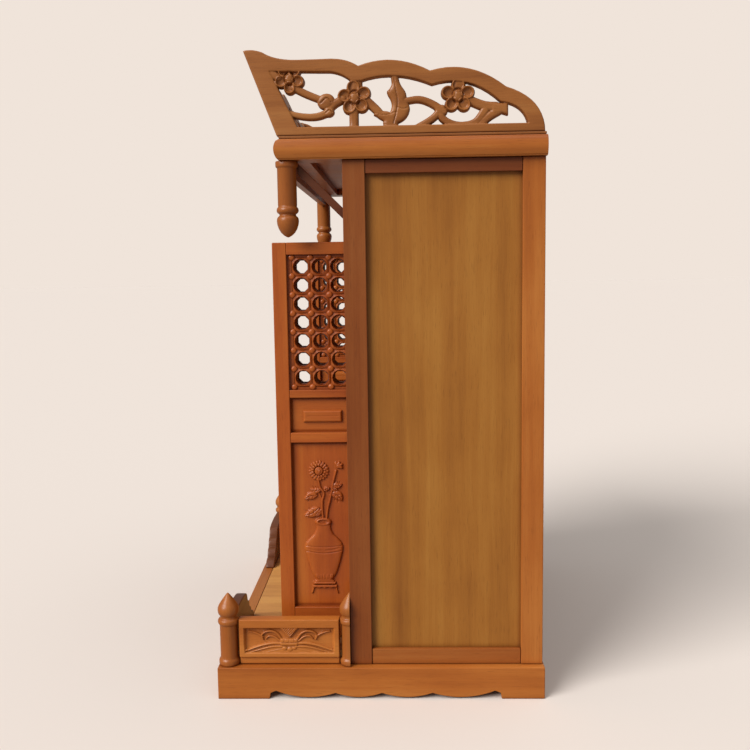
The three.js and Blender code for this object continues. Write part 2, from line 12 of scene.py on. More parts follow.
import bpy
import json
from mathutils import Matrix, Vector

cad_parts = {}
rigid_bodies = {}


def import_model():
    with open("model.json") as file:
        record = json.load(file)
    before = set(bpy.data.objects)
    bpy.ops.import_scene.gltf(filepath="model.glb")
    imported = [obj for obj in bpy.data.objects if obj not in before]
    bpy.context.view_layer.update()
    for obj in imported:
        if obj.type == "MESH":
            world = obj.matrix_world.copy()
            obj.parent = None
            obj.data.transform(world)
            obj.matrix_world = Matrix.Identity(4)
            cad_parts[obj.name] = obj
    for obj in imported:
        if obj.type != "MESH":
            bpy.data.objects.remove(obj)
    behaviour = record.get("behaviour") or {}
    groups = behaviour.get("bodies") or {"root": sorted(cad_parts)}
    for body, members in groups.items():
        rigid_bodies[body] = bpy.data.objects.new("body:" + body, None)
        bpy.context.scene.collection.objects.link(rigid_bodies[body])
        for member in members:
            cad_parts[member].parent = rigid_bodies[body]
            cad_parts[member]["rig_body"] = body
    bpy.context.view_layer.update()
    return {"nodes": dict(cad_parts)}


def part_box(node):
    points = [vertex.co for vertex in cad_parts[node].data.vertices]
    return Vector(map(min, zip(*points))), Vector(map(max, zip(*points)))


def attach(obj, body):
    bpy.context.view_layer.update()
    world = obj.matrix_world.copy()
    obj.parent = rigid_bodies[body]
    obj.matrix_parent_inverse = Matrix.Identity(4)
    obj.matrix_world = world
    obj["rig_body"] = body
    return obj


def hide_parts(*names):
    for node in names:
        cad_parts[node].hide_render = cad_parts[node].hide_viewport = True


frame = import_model()

# %% Tools
import json
import math

import bmesh
import bpy
import numpy as np
from mathutils import Matrix, Vector

MM = 0.001
SIDES = {"right": 1, "left": -1}


def node_box(node):
    """Lowest and highest corner of a node of the frame, in millimetres."""
    low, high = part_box(node)
    return np.array(low) / MM, np.array(high) / MM


# %% [markdown]
# ## The camera
#
# The camera stands level with the middle of the doors, square to the right side, and looks slightly down.
# Its three axes are written out, because that is the shortest true way to say a small yaw, pitch and roll
# together.

# %% The camera
def add_camera():
    """A camera beside the cabinet, with a normal lens."""
    data = bpy.data.cameras.new("camera")
    data.lens = 43.2
    data.sensor_width = 36
    camera = bpy.data.objects.new("camera", data)
    right = Vector((-0.028621, 0.999485, -0.014475))
    up = Vector((-0.116235, 0.011055, 0.993161))
    back = right.cross(up)
    turn = Matrix((right, up, back)).transposed().to_4x4()
    camera.matrix_world = Matrix.Translation(Vector((1162.4, 26.8, 459.2)) * MM) @ turn
    bpy.context.scene.collection.objects.link(camera)
    bpy.context.scene.camera = camera
    return camera


print("camera:", add_camera().name)

# %% [markdown]
# ## Light and floor
#
# The wood is dark and varnished, so it needs few, soft lamps. The key stands high on the front side and
# draws the bright upper and front edges of the mouldings. A second one stands overhead. Both are far away,
# so the floor is lit evenly out to the horizon. The world and the floor are pale for the eye and dim for
# the object, so hollows and undersides stay deep.

# %% Light and floor
def add_sun(name, towards, strength, angle, colour=(1, 1, 1)):
    """A far lamp that stands in a direction from the cabinet. A wide angle gives soft shadows."""
    data = bpy.data.lights.new(name, "SUN")
    data.energy = strength
    data.angle = math.radians(angle)
    data.color = colour
    lamp = bpy.data.objects.new(name, data)
    lamp.rotation_euler = Vector(towards).to_track_quat("Z", "Y").to_euler()
    bpy.context.scene.collection.objects.link(lamp)


def add(tree, kind, inputs=(), **settings):
    """One node of a shader or geometry tree. An input is a value or another node's socket."""
    node = tree.nodes.new(kind)
    for key, value in settings.items():
        setattr(node, key, value)
    for key, value in dict(inputs).items():
        if isinstance(value, bpy.types.NodeSocket):
            tree.links.new(value, node.inputs[key])
        else:
            node.inputs[key].default_value = value
    return node


def add_world(shown, lit, strength):
    """A background with one colour for the eye and another for the light it gives."""
    world = bpy.data.worlds.new("studio")
    bpy.context.scene.world = world
    world.use_nodes = True
    tree = world.node_tree
    tree.nodes.clear()
    path = add(tree, "ShaderNodeLightPath")
    eye = add(tree, "ShaderNodeBackground", {"Color": (*shown, 1), "Strength": 1})
    light = add(tree, "ShaderNodeBackground", {"Color": (*lit, 1), "Strength": strength})
    both = add(tree, "ShaderNodeMixShader",
               {0: path.outputs["Is Camera Ray"], 1: light.outputs[0], 2: eye.outputs[0]})
    add(tree, "ShaderNodeOutputWorld", {"Surface": both.outputs[0]})


def add_floor(half, shown, bounced):
    """A matt floor that is pale to the eye and gives back less light than it shows."""
    mesh = bpy.data.meshes.new("floor")
    corners = [(-half, -half, 0), (half, -half, 0), (half, half, 0), (-half, half, 0)]
    mesh.from_pydata(corners, [], [(0, 1, 2, 3)])
    floor = bpy.data.objects.new("floor", mesh)
    bpy.context.scene.collection.objects.link(floor)
    material = bpy.data.materials.new("pale_floor")
    material.use_nodes = True
    tree = material.node_tree
    shader = tree.nodes["Principled BSDF"]
    shader.inputs["Roughness"].default_value = 0.9
    shader.inputs["Specular IOR Level"].default_value = 0
    path = add(tree, "ShaderNodeLightPath")
    colour = add(tree, "ShaderNodeMix", {0: path.outputs["Is Camera Ray"], 6: (*bounced, 1), 7: (*shown, 1)},
                 data_type="RGBA")
    tree.links.new(colour.outputs[2], shader.inputs["Base Color"])
    mesh.materials.append(material)


bpy.context.scene.view_settings.view_transform = "Standard"
add_world(shown=(0.871, 0.775, 0.701), lit=(1.0, 0.97, 0.93), strength=0.25)
add_sun("key", (0.55, -0.62, 0.55), 3.2, 38, (1.0, 0.97, 0.92))
add_sun("overhead", (0.15, 0.1, 1), 0.75, 60, (1.0, 0.98, 0.95))
add_floor(half=30, shown=(0.83, 0.76, 0.72), bounced=(0.36, 0.32, 0.29))

# %% [markdown]
# ## Stained and varnished wood
#
# The cabinet is a pale, even-grained softwood, stained orange-brown and varnished. Cut boards show long
# soft streaks, fine fibres and scattered pores, all drawn out along the grain. So every piece carries an
# attribute called board: its own coordinates, turned so that the first one runs along the grain, and
# shifted so that no two boards match. One tree then serves for every board, whichever way it lies. Corners
# and carved hollows are darkened with painted shade, which an ambient occlusion node finds.

# %% Wood
def tone(tree, factor, first, second, blend="MIX"):
    """A colour between two others."""
    node = add(tree, "ShaderNodeMix", data_type="RGBA", blend_type=blend)
    for slot, value in ((0, factor), (6, first), (7, second)):
        if isinstance(value, bpy.types.NodeSocket):
            tree.links.new(value, node.inputs[slot])
        else:
            node.inputs[slot].default_value = (*value, 1) if slot else value
    return node.outputs[2]


def drawn_noise(tree, place, scale, detail, roughness=0.5):
    """Noise with its own scale along, across and through the board."""
    stretched = add(tree, "ShaderNodeMapping", {"Vector": place, "Scale": scale}, vector_type="POINT")
    noise = add(tree, "ShaderNodeTexNoise", {
        "Vector": stretched.outputs[0], "Scale": 1.0, "Detail": detail, "Roughness": roughness})
    return noise.outputs["Fac"]


def remapped(tree, value, low, high, to_low=0.0, to_high=1.0):
    """A value stretched from one range to another, and held inside it."""
    node = add(tree, "ShaderNodeMapRange", {
        "Value": value, "From Min": low, "From Max": high, "To Min": to_low, "To Max": to_high})
    return node.outputs[0]


def sums(tree, *terms):
    """The sum of values, each with its weight."""
    total = None
    for value, weight in terms:
        part = add(tree, "ShaderNodeMath", {0: value, 1: weight}, operation="MULTIPLY").outputs[0]
        total = part if total is None else add(tree, "ShaderNodeMath", {0: total, 1: part}).outputs[0]
    return total


def varnished_wood(name, pale, middle, deep, streaks=1.0, pores=0.3, rough=0.40, coat=0.2):
    """Stained wood under varnish, from the colours of its light streaks, ground and dark streaks."""
    material = bpy.data.materials.new(name)
    material.use_nodes = True
    tree = material.node_tree
    shader = tree.nodes["Principled BSDF"]
    board = add(tree, "ShaderNodeAttribute", attribute_name="board").outputs["Vector"]
    drift = drawn_noise(tree, board, (2.2, 9, 9), 2)
    sway = add(tree, "ShaderNodeVectorMath", {0: (0, 0.016, 0.016), 3: drift}, operation="SCALE").outputs[0]
    grain = add(tree, "ShaderNodeVectorMath", {0: board, 1: sway}).outputs[0]

    broad = drawn_noise(tree, grain, (1.3, 28, 28), 3)
    streak = drawn_noise(tree, grain, (3.2, 130, 130), 4, 0.6)
    fibre = drawn_noise(tree, grain, (16, 1100, 1100), 3, 0.6)
    # These blotches are partly a random tone of the wood and partly painted sheen: lighter and darker patches
    # in the colour, as a varnish's gloss would show. They also vary the roughness.
    blotch_and_sheen = drawn_noise(tree, board, (7, 14, 14), 3)
    figure = sums(tree, (broad, 0.40), (streak, 0.22), (fibre, 0.08), (blotch_and_sheen, 0.30))
    spread = 0.16 / streaks
    ramp = add(tree, "ShaderNodeValToRGB", {"Fac": remapped(tree, figure, 0.5 - spread, 0.5 + spread)})
    for stop, colour, at in zip((0, 1), (deep, pale), (0.0, 1.0)):
        ramp.color_ramp.elements[stop].position = at
        ramp.color_ramp.elements[stop].color = (*colour, 1)
    ramp.color_ramp.elements.new(0.48).color = (*middle, 1)
    colour = ramp.outputs["Color"]

    speck = remapped(tree, drawn_noise(tree, grain, (75, 2300, 2300), 1), 0.62, 0.72)
    colour = tone(tree, sums(tree, (speck, pores)), colour, tuple(c * 0.42 for c in deep))
    # This attribute darkens a piece towards a purple brown. On most pieces it is the wood's own tone; on the
    # top rails, the braces and the lattice's hole walls it is partly painted shade.
    stain = add(tree, "ShaderNodeAttribute", attribute_name="stain").outputs["Fac"]
    colour = tone(tree, stain, colour, (0.36, 0.26, 0.34), "MULTIPLY")
    # Painted shade: an ambient occlusion node darkens corners, joints and carved hollows towards a dark
    # brown, and makes them a little rougher.
    hollow = add(tree, "ShaderNodeAmbientOcclusion", {"Distance": 0.006}, samples=6).outputs["AO"]
    painted_hollow_shade = remapped(tree, hollow, 0.9, 0.25, 0.0, 0.75)
    colour = tone(tree, painted_hollow_shade, colour, (0.33, 0.17, 0.12), "MULTIPLY")
    tree.links.new(colour, shader.inputs["Base Color"])

    matt = sums(tree, (fibre, 0.10), (blotch_and_sheen, 0.16), (painted_hollow_shade, 0.15))
    tree.links.new(remapped(tree, matt, 0.08, 0.22, rough - 0.07, rough + 0.1), shader.inputs["Roughness"])
    pits = sums(tree, (fibre, 0.5), (speck, -0.6))
    fine = add(tree, "ShaderNodeBump", {"Height": pits, "Strength": 0.22, "Distance": 0.00012})
    lap = drawn_noise(tree, board, (24, 70, 70), 2)
    brushed = add(tree, "ShaderNodeBump", {
        "Height": lap, "Strength": 0.25, "Distance": 0.0006, "Normal": fine.outputs["Normal"]})
    tree.links.new(brushed.outputs["Normal"], shader.inputs["Normal"])
    tree.links.new(brushed.outputs["Normal"], shader.inputs["Coat Normal"])
    shader.inputs["Specular IOR Level"].default_value = 0.3
    shader.inputs["Coat Weight"].default_value = coat
    shader.inputs["Coat Roughness"].default_value = 0.2
    return material


WOODS = {
    "frame_wood": ((0.60, 0.225, 0.045), (0.46, 0.138, 0.022), (0.30, 0.070, 0.010), {}),
    "carved_wood": ((0.46, 0.195, 0.055), (0.34, 0.120, 0.028), (0.19, 0.054, 0.012), {"rough": 0.42}),
    "door_wood": ((0.54, 0.160, 0.024), (0.42, 0.094, 0.013), (0.27, 0.044, 0.007), {}),
    "panel_wood": ((0.45, 0.200, 0.036), (0.36, 0.138, 0.021), (0.25, 0.084, 0.012),
                   {"streaks": 1.1, "rough": 0.44, "coat": 0.15}),
    "deck_wood": ((0.82, 0.450, 0.130), (0.68, 0.320, 0.090), (0.46, 0.180, 0.045),
                  {"rough": 0.46, "coat": 0.1}),
}
FINISHES = {}
for name, (pale, middle, deep, surface) in WOODS.items():
    FINISHES[name] = varnished_wood(name, pale, middle, deep, **surface)
print("finishes:", ", ".join(FINISHES))

# %% [markdown]
# ## Boards with eased edges
#
# Nobody leaves a sawn edge sharp: it is broken with a plane and sandpaper, and varnish rounds it further,
# so every edge shows a thin line of light. The straight pieces keep the solid from the frame. A copy is
# merged, its flat faces are cleaned, and a narrow bevel is laid along its edges.

# %% Finishing a piece
GRAIN = {"X": (0, 1, 2), "Y": (1, 0, 2), "Z": (2, 0, 1)}
pieces = []


def write_attribute(mesh, name, kind, values):
    """A value for each point of a mesh."""
    attribute = mesh.attributes.new(name, kind, "POINT")
    field = "vector" if kind == "FLOAT_VECTOR" else "value"
    attribute.data.foreach_set(field, np.asarray(values, np.float32).ravel())


def board_places(mesh, grain, shift):
    """Coordinates along, across and through a board, in metres."""
    places = np.empty(len(mesh.vertices) * 3, np.float32)
    mesh.vertices.foreach_get("co", places)
    return places.reshape(-1, 3)[:, GRAIN[grain]] + shift


def shade(mesh, angle=38):
    """Smooth shading, with a sharp edge wherever the surface turns by more than the angle."""
    mesh.polygons.foreach_set("use_smooth", np.ones(len(mesh.polygons), bool))
    mesh.set_sharp_from_angle(angle=math.radians(angle))


def dress(piece, nodes, slot, grain="Z", stain=0.0):
    """Gives a finished mesh its wood, and lets it stand for nodes of the frame and ride on their body."""
    mesh = piece.data
    if "board" not in mesh.attributes:
        shift = np.array((0.31, 0.173, 0.237)) * (len(pieces) % 23 + 1)
        write_attribute(mesh, "board", "FLOAT_VECTOR", board_places(mesh, grain, shift))
    if "stain" not in mesh.attributes:
        write_attribute(mesh, "stain", "FLOAT", np.full(len(mesh.vertices), stain))
    mesh.materials.clear()
    mesh.materials.append(FINISHES[slot])
    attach(piece, frame["nodes"][nodes[0]]["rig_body"])
    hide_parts(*nodes)
    pieces.append(piece)
    return piece


def new_object(name, mesh):
    piece = bpy.data.objects.new(name, mesh)
    bpy.context.scene.collection.objects.link(piece)
    return piece


def from_points(name, points, faces):
    """An object from points in millimetres."""
    mesh = bpy.data.meshes.new(name)
    mesh.from_pydata((np.asarray(points, float) * MM).tolist(), [], [list(face) for face in faces])
    return new_object(name, mesh)


def settled(piece):
    """The same piece with its modifiers made part of its mesh."""
    bpy.context.view_layer.update()
    graph = bpy.context.evaluated_depsgraph_get()
    mesh = bpy.data.meshes.new_from_object(
        piece.evaluated_get(graph), preserve_all_data_layers=True, depsgraph=graph)
    mesh.name = piece.name
    piece.modifiers.clear()
    old = piece.data
    piece.data = mesh
    bpy.data.meshes.remove(old)
    return piece


def eased(piece, width, segments=2, angle=30):
    """Lays a narrow round along the sharp edges of a piece."""
    bevel = piece.modifiers.new("eased edges", "BEVEL")
    bevel.width = width * MM
    bevel.segments = segments
    bevel.limit_method = "ANGLE"
    bevel.angle_limit = math.radians(angle)
    bevel.harden_normals = True
    piece.data.polygons.foreach_set("use_smooth", np.ones(len(piece.data.polygons), bool))
    return settled(piece)


def from_node(node, width=0.7, segments=2):
    """A copy of a node of the frame, merged, cleaned and with eased edges."""
    shape = bmesh.new()
    shape.from_mesh(frame["nodes"][node].data)
    bmesh.ops.remove_doubles(shape, verts=shape.verts, dist=2e-6)
    bmesh.ops.dissolve_limit(shape, angle_limit=math.radians(0.5), verts=shape.verts, edges=shape.edges)
    mesh = bpy.data.meshes.new(node)
    shape.to_mesh(mesh)
    shape.free()
    for layer in list(mesh.attributes):
        if layer.name.startswith("custom_normal"):
            mesh.attributes.remove(layer)
    return eased(new_object(f"{node}_wood", mesh), width, segments)


# %% The straight pieces of the body
# The last number darkens a piece. It is the wood's own tone, except on the top rails and braces, where it is
# partly painted shade for the shade under the roof.
BOARDS = [
    ("front_post_{}", "frame_wood", "Z", 0.75), ("rear_post_{}", "frame_wood", "Z", 0.1),
    ("side_top_rail_{}", "frame_wood", "Y", 0.95), ("side_bottom_rail_{}", "frame_wood", "Y", 0.45),
    ("side_panel_{}", "panel_wood", "Z", 0.0), ("brace_{}", "carved_wood", "Y", 1.0),
]
for pattern, slot, grain, stain in BOARDS:
    for side in SIDES:
        node = pattern.format(side)
        dress(from_node(node), [node], slot, grain, stain)
for node, slot, grain, stain in [
        ("deck_board", "deck_wood", "Y", 0.0), ("back_panel", "panel_wood", "Z", 0.35),
        ("threshold", "frame_wood", "X", 0.2), ("lintel", "frame_wood", "X", 0.4),
        ("roof_plate", "carved_wood", "Y", 0.3)]:
    dress(from_node(node), [node], slot, grain, stain)
print("straight pieces:", len(pieces))

# %% [markdown]
# ## The base
#
# Four boards with a sawn lower edge stand on their feet around the deck. The edge is a foot, a small step,
# a run of hanging lobes that meet in cusps, and a foot again. It is drawn from the same sizes as the solid,
# with smoother lobes, and pulled into a board.

# %% Aprons
APRON_T = 14
LOBE_DROP = 1.8
CUSP_Z = 6.5
NOTCH_Z = 9
LOBE_STEPS = 14


def bowed(start, pull, end, steps=LOBE_STEPS):
    """Points along a curve from start to end that leans towards a third point, without its first point."""
    t = np.linspace(0, 1, steps + 1)[1:, None]
    start, pull, end = (np.array(point, float) for point in (start, pull, end))
    return ((1 - t) ** 2 * start + 2 * t * (1 - t) * pull + t ** 2 * end).tolist()


def apron_outline(start, end, foot_start, foot_end, lobes, top):
    """The outline of an apron, along the ground and back along its top."""
    first, last = start + foot_start + 7, end - foot_end - 7
    points = [(start, 0), (start + foot_start, 0), (start + foot_start + 1, CUSP_Z), (first, NOTCH_Z)]
    at, z = first, NOTCH_Z
    for i, lobe in enumerate(lobes):
        to = at + lobe / sum(lobes) * (last - first)
        to_z = NOTCH_Z if i == len(lobes) - 1 else CUSP_Z
        low = 2 * LOBE_DROP - (z + to_z) / 2
        points += bowed((at, z), ((at + to) / 2, low), (to, to_z))
        at, z = to, to_z
    points += [(end - foot_end - 1, CUSP_Z), (end - foot_end, 0), (end, 0), (end, top), (start, top)]
    return points


def board_from(name, outline, axis, near, far, ease=0.8):
    """A board with the given outline. Its thickness runs along X or Y, from near to far."""
    count = len(outline)
    layers = [[(at, u, v) if axis == "X" else (u, at, v) for u, v in outline] for at in (near, far)]
    faces = [list(range(count)), list(range(2 * count - 1, count - 1, -1))]
    faces += [(i, i + count, (i + 1) % count + count, (i + 1) % count) for i in range(count)]
    piece = from_points(name, layers[0] + layers[1], faces)
    outward(piece.data)
    return eased(piece, ease)


def outward(mesh):
    """Turns every face of a closed mesh outwards."""
    shape = bmesh.new()
    shape.from_mesh(mesh)
    bmesh.ops.recalc_face_normals(shape, faces=shape.faces)
    shape.to_mesh(mesh)
    shape.free()


for side in SIDES:
    node = f"base_apron_{side}"
    low, high = node_box(node)
    outline = apron_outline(low[1], high[1], 56, 46, [65, 51, 55, 68], high[2])
    board = board_from(f"{node}_wood", outline, "X", low[0], high[0])
    dress(board, [node], "frame_wood", "Y", stain=-0.25)
for node in ("base_apron_front", "base_apron_back"):
    low, high = node_box(node)
    outline = apron_outline(low[0], high[0], 46, 46, [66, 56, 52, 52, 56, 66], high[2])
    board = board_from(f"{node}_wood", outline, "Y", low[1], high[1])
    dress(board, [node], "frame_wood", "X", stain=0.15)
print("base aprons: 4")

# %% [markdown]
# ## Turned posts and pendants
#
# The newels, the half newels and the pendants come from a lathe. Each one is a profile, radius by height,
# spun round the upright axis. The half newels are the same turning, sawn in two and glued to the front
# posts.

# %% Turned pieces
TURN_STEPS = 56
NEWEL = [
    (0, 0), (10.9, 0), (11.3, 0.5), (11.5, 2.2), (11.5, 4.6), (11.1, 6.0), (10.2, 7.0), (9.9, 7.8),
    (9.7, 9.5),
    (9.7, 44.2), (9.9, 45.0), (10.9, 45.8), (11.4, 47.0), (11.5, 48.6), (11.3, 50.0), (10.7, 51.0),
    (9.6, 51.6),
    (9.1, 52.6), (9.0, 54.0), (9.3, 54.9), (10.3, 56.2), (11.1, 58.0), (11.45, 60.2), (11.4, 62.4),
    (10.9, 64.4),
    (10.0, 66.4), (8.2, 69.2), (5.4, 73.2), (2.4, 77.2), (0.9, 78.9), (0, 79.5),
]
PENDANT = [
    (0, -77), (1.6, -76.6), (4.4, -74.9), (7.4, -72.0), (9.6, -68.2), (10.9, -64.2), (11.4, -60.6),
    (11.2, -58.0),
    (10.3, -56.2), (9.0, -55.2), (8.5, -54.3), (8.7, -53.3), (10.2, -52.3), (11.2, -51.0), (11.4, -49.2),
    (11.0, -47.4), (10.2, -46.4), (9.6, -45.6), (9.9, -44.2), (9.9, -7.2), (10.3, -6.4), (11.3, -5.6),
    (11.5, -4.4), (11.5, -0.6), (11.1, 0), (0, 0),
]


def turned(name, profile, centre):
    """A profile spun round an upright axis."""
    rings = [(r, z) for r, z in profile if r > 0]
    angles = np.arange(TURN_STEPS) / TURN_STEPS * 2 * math.pi
    points = [(centre[0] + r * math.cos(a), centre[1] + r * math.sin(a), centre[2] + z)
              for r, z in rings for a in angles]
    faces = []
    for ring in range(len(rings) - 1):
        for i in range(TURN_STEPS):
            a, b = ring * TURN_STEPS + i, ring * TURN_STEPS + (i + 1) % TURN_STEPS
            faces.append((a, b, b + TURN_STEPS, a + TURN_STEPS))
    for (r, z), ring, flip in ((profile[0], 0, True), (profile[-1], len(rings) - 1, False)):
        tip = len(points)
        points.append((centre[0], centre[1], centre[2] + z))
        for i in range(TURN_STEPS):
            a, b = ring * TURN_STEPS + i, ring * TURN_STEPS + (i + 1) % TURN_STEPS
            faces.append((b, a, tip) if flip else (a, b, tip))
    piece = from_points(name, points, faces)
    shade(piece.data, 50)
    return piece


def halved(piece, plane_y):
    """Keeps what lies in front of an upright plane, and closes the cut."""
    shape = bmesh.new()
    shape.from_mesh(piece.data)
    everything = shape.verts[:] + shape.edges[:] + shape.faces[:]
    cut = bmesh.ops.bisect_plane(shape, geom=everything, plane_co=(0, plane_y * MM, 0), plane_no=(0, 1, 0),
                                 clear_outer=True)
    rim = [item for item in cut["geom_cut"] if isinstance(item, bmesh.types.BMEdge)]
    bmesh.ops.edgenet_fill(shape, edges=rim)
    shape.to_mesh(piece.data)
    shape.free()
    outward(piece.data)
    shade(piece.data, 50)
    return piece


for side in SIDES:
    low, high = node_box(f"newel_{side}")
    foot = ((low[0] + high[0]) / 2, (low[1] + high[1]) / 2, low[2])
    dress(turned(f"newel_{side}_wood", NEWEL, foot), [f"newel_{side}"], "frame_wood", "Z", 0.35)
    low, high = node_box(f"half_newel_{side}")
    foot = ((low[0] + high[0]) / 2, high[1], low[2])
    half = halved(turned(f"half_newel_{side}_wood", NEWEL, foot), high[1])
    dress(half, [f"half_newel_{side}"], "frame_wood", "Z", 0.45)
    low, high = node_box(f"pendant_{side}")
    head = ((low[0] + high[0]) / 2, (low[1] + high[1]) / 2, high[2])
    dress(turned(f"pendant_{side}_wood", PENDANT, head), [f"pendant_{side}"], "frame_wood", "Z", 0.45)
print("turned pieces: 6, with", len(pieces[-1].data.polygons), "faces in a pendant")

# %% [markdown]
# ## The roof slab
#
# The roof is one thick board with a rounded nose along its front and both ends. Each height of the nose is
# a rectangle, set in by a little more or less, so the corners mitre by themselves. A shallow recess under
# the front shows as a dark field from below.

# %% Roof
NOSE_STEPS = 12


def nose(bottom, top):
    """Heights and insets of the nose: a fillet below, a full round, and a small step under its top."""
    points = [(bottom, 4.0), (bottom + 1.0, 3.4), (bottom + 1.6, 2.4)]
    low, high = bottom + 1.6, top - 1.6
    for i in range(1, NOSE_STEPS):
        t = i / NOSE_STEPS
        points.append((low + (high - low) * t, 2.4 * (2 * t - 1) ** 2))
    return points + [(high, 2.6), (top - 1.0, 3.9), (top - 0.2, 4.4), (top, 5.0)]


def roof_slab(node):
    low, high = node_box(node)
    rings = [[(low[0] + d, low[1] + d, z), (high[0] - d, low[1] + d, z), (high[0] - d, high[1], z),
              (low[0] + d, high[1], z)] for z, d in nose(low[2], high[2])]
    posts = node_box("front_post_right")[0]
    under = [(-posts[0], -67), (posts[0], -67), (posts[0], posts[1] - 1), (-posts[0], posts[1] - 1)]
    points = [point for ring in rings for point in ring]
    edge = len(points)
    points += [(x, y, low[2]) for x, y in under] + [(x, y, low[2] + 8) for x, y in under]
    faces = [(r * 4 + i, r * 4 + (i + 1) % 4, r * 4 + (i + 1) % 4 + 4, r * 4 + i + 4)
             for r in range(len(rings) - 1) for i in range(4)]
    faces += [(i, i + edge, (i + 1) % 4 + edge, (i + 1) % 4) for i in range(4)]
    faces += [(edge + i, edge + i + 4, edge + (i + 1) % 4 + 4, edge + (i + 1) % 4) for i in range(4)]
    faces += [[edge + 4 + i for i in range(4)], [len(rings) * 4 - 4 + i for i in range(4)]]
    piece = from_points(f"{node}_wood", points, faces)
    outward(piece.data)
    shade(piece.data, 24)
    return piece


dress(roof_slab("roof_slab"), ["roof_slab"], "frame_wood", "Y", 0.1)
print("roof slab:", len(pieces[-1].data.polygons), "faces")

# %% [markdown]
# ## Carving
#
# Low relief is a height over every point of a board's face. A carver thinks the same way: lower the ground,
# leave the stems, leaves and petals standing, then round them over. Each stroke below knows how far a point
# lies inside it, and rounds from its edge up to its ridge. Where two strokes meet, the higher one wins,
# which leaves the sharp valley that a gouge leaves.

# %% Strokes of the gouge
def smooth_line(points, steps=5):
    """A smooth line through points."""
    points = np.array(points, float)
    if len(points) < 3:
        return points
    ends = np.vstack([2 * points[0] - points[1], points, 2 * points[-1] - points[-2]])
    line = []
    for a, b, c, d in zip(ends, ends[1:], ends[2:], ends[3:]):
        for t in np.arange(steps) / steps:
            line.append(0.5 * (2 * b + (c - a) * t + (2 * a - 5 * b + 4 * c - d) * t ** 2
                               + (3 * b - a - 3 * c + d) * t ** 3))
    return np.array(line + [points[-1]])


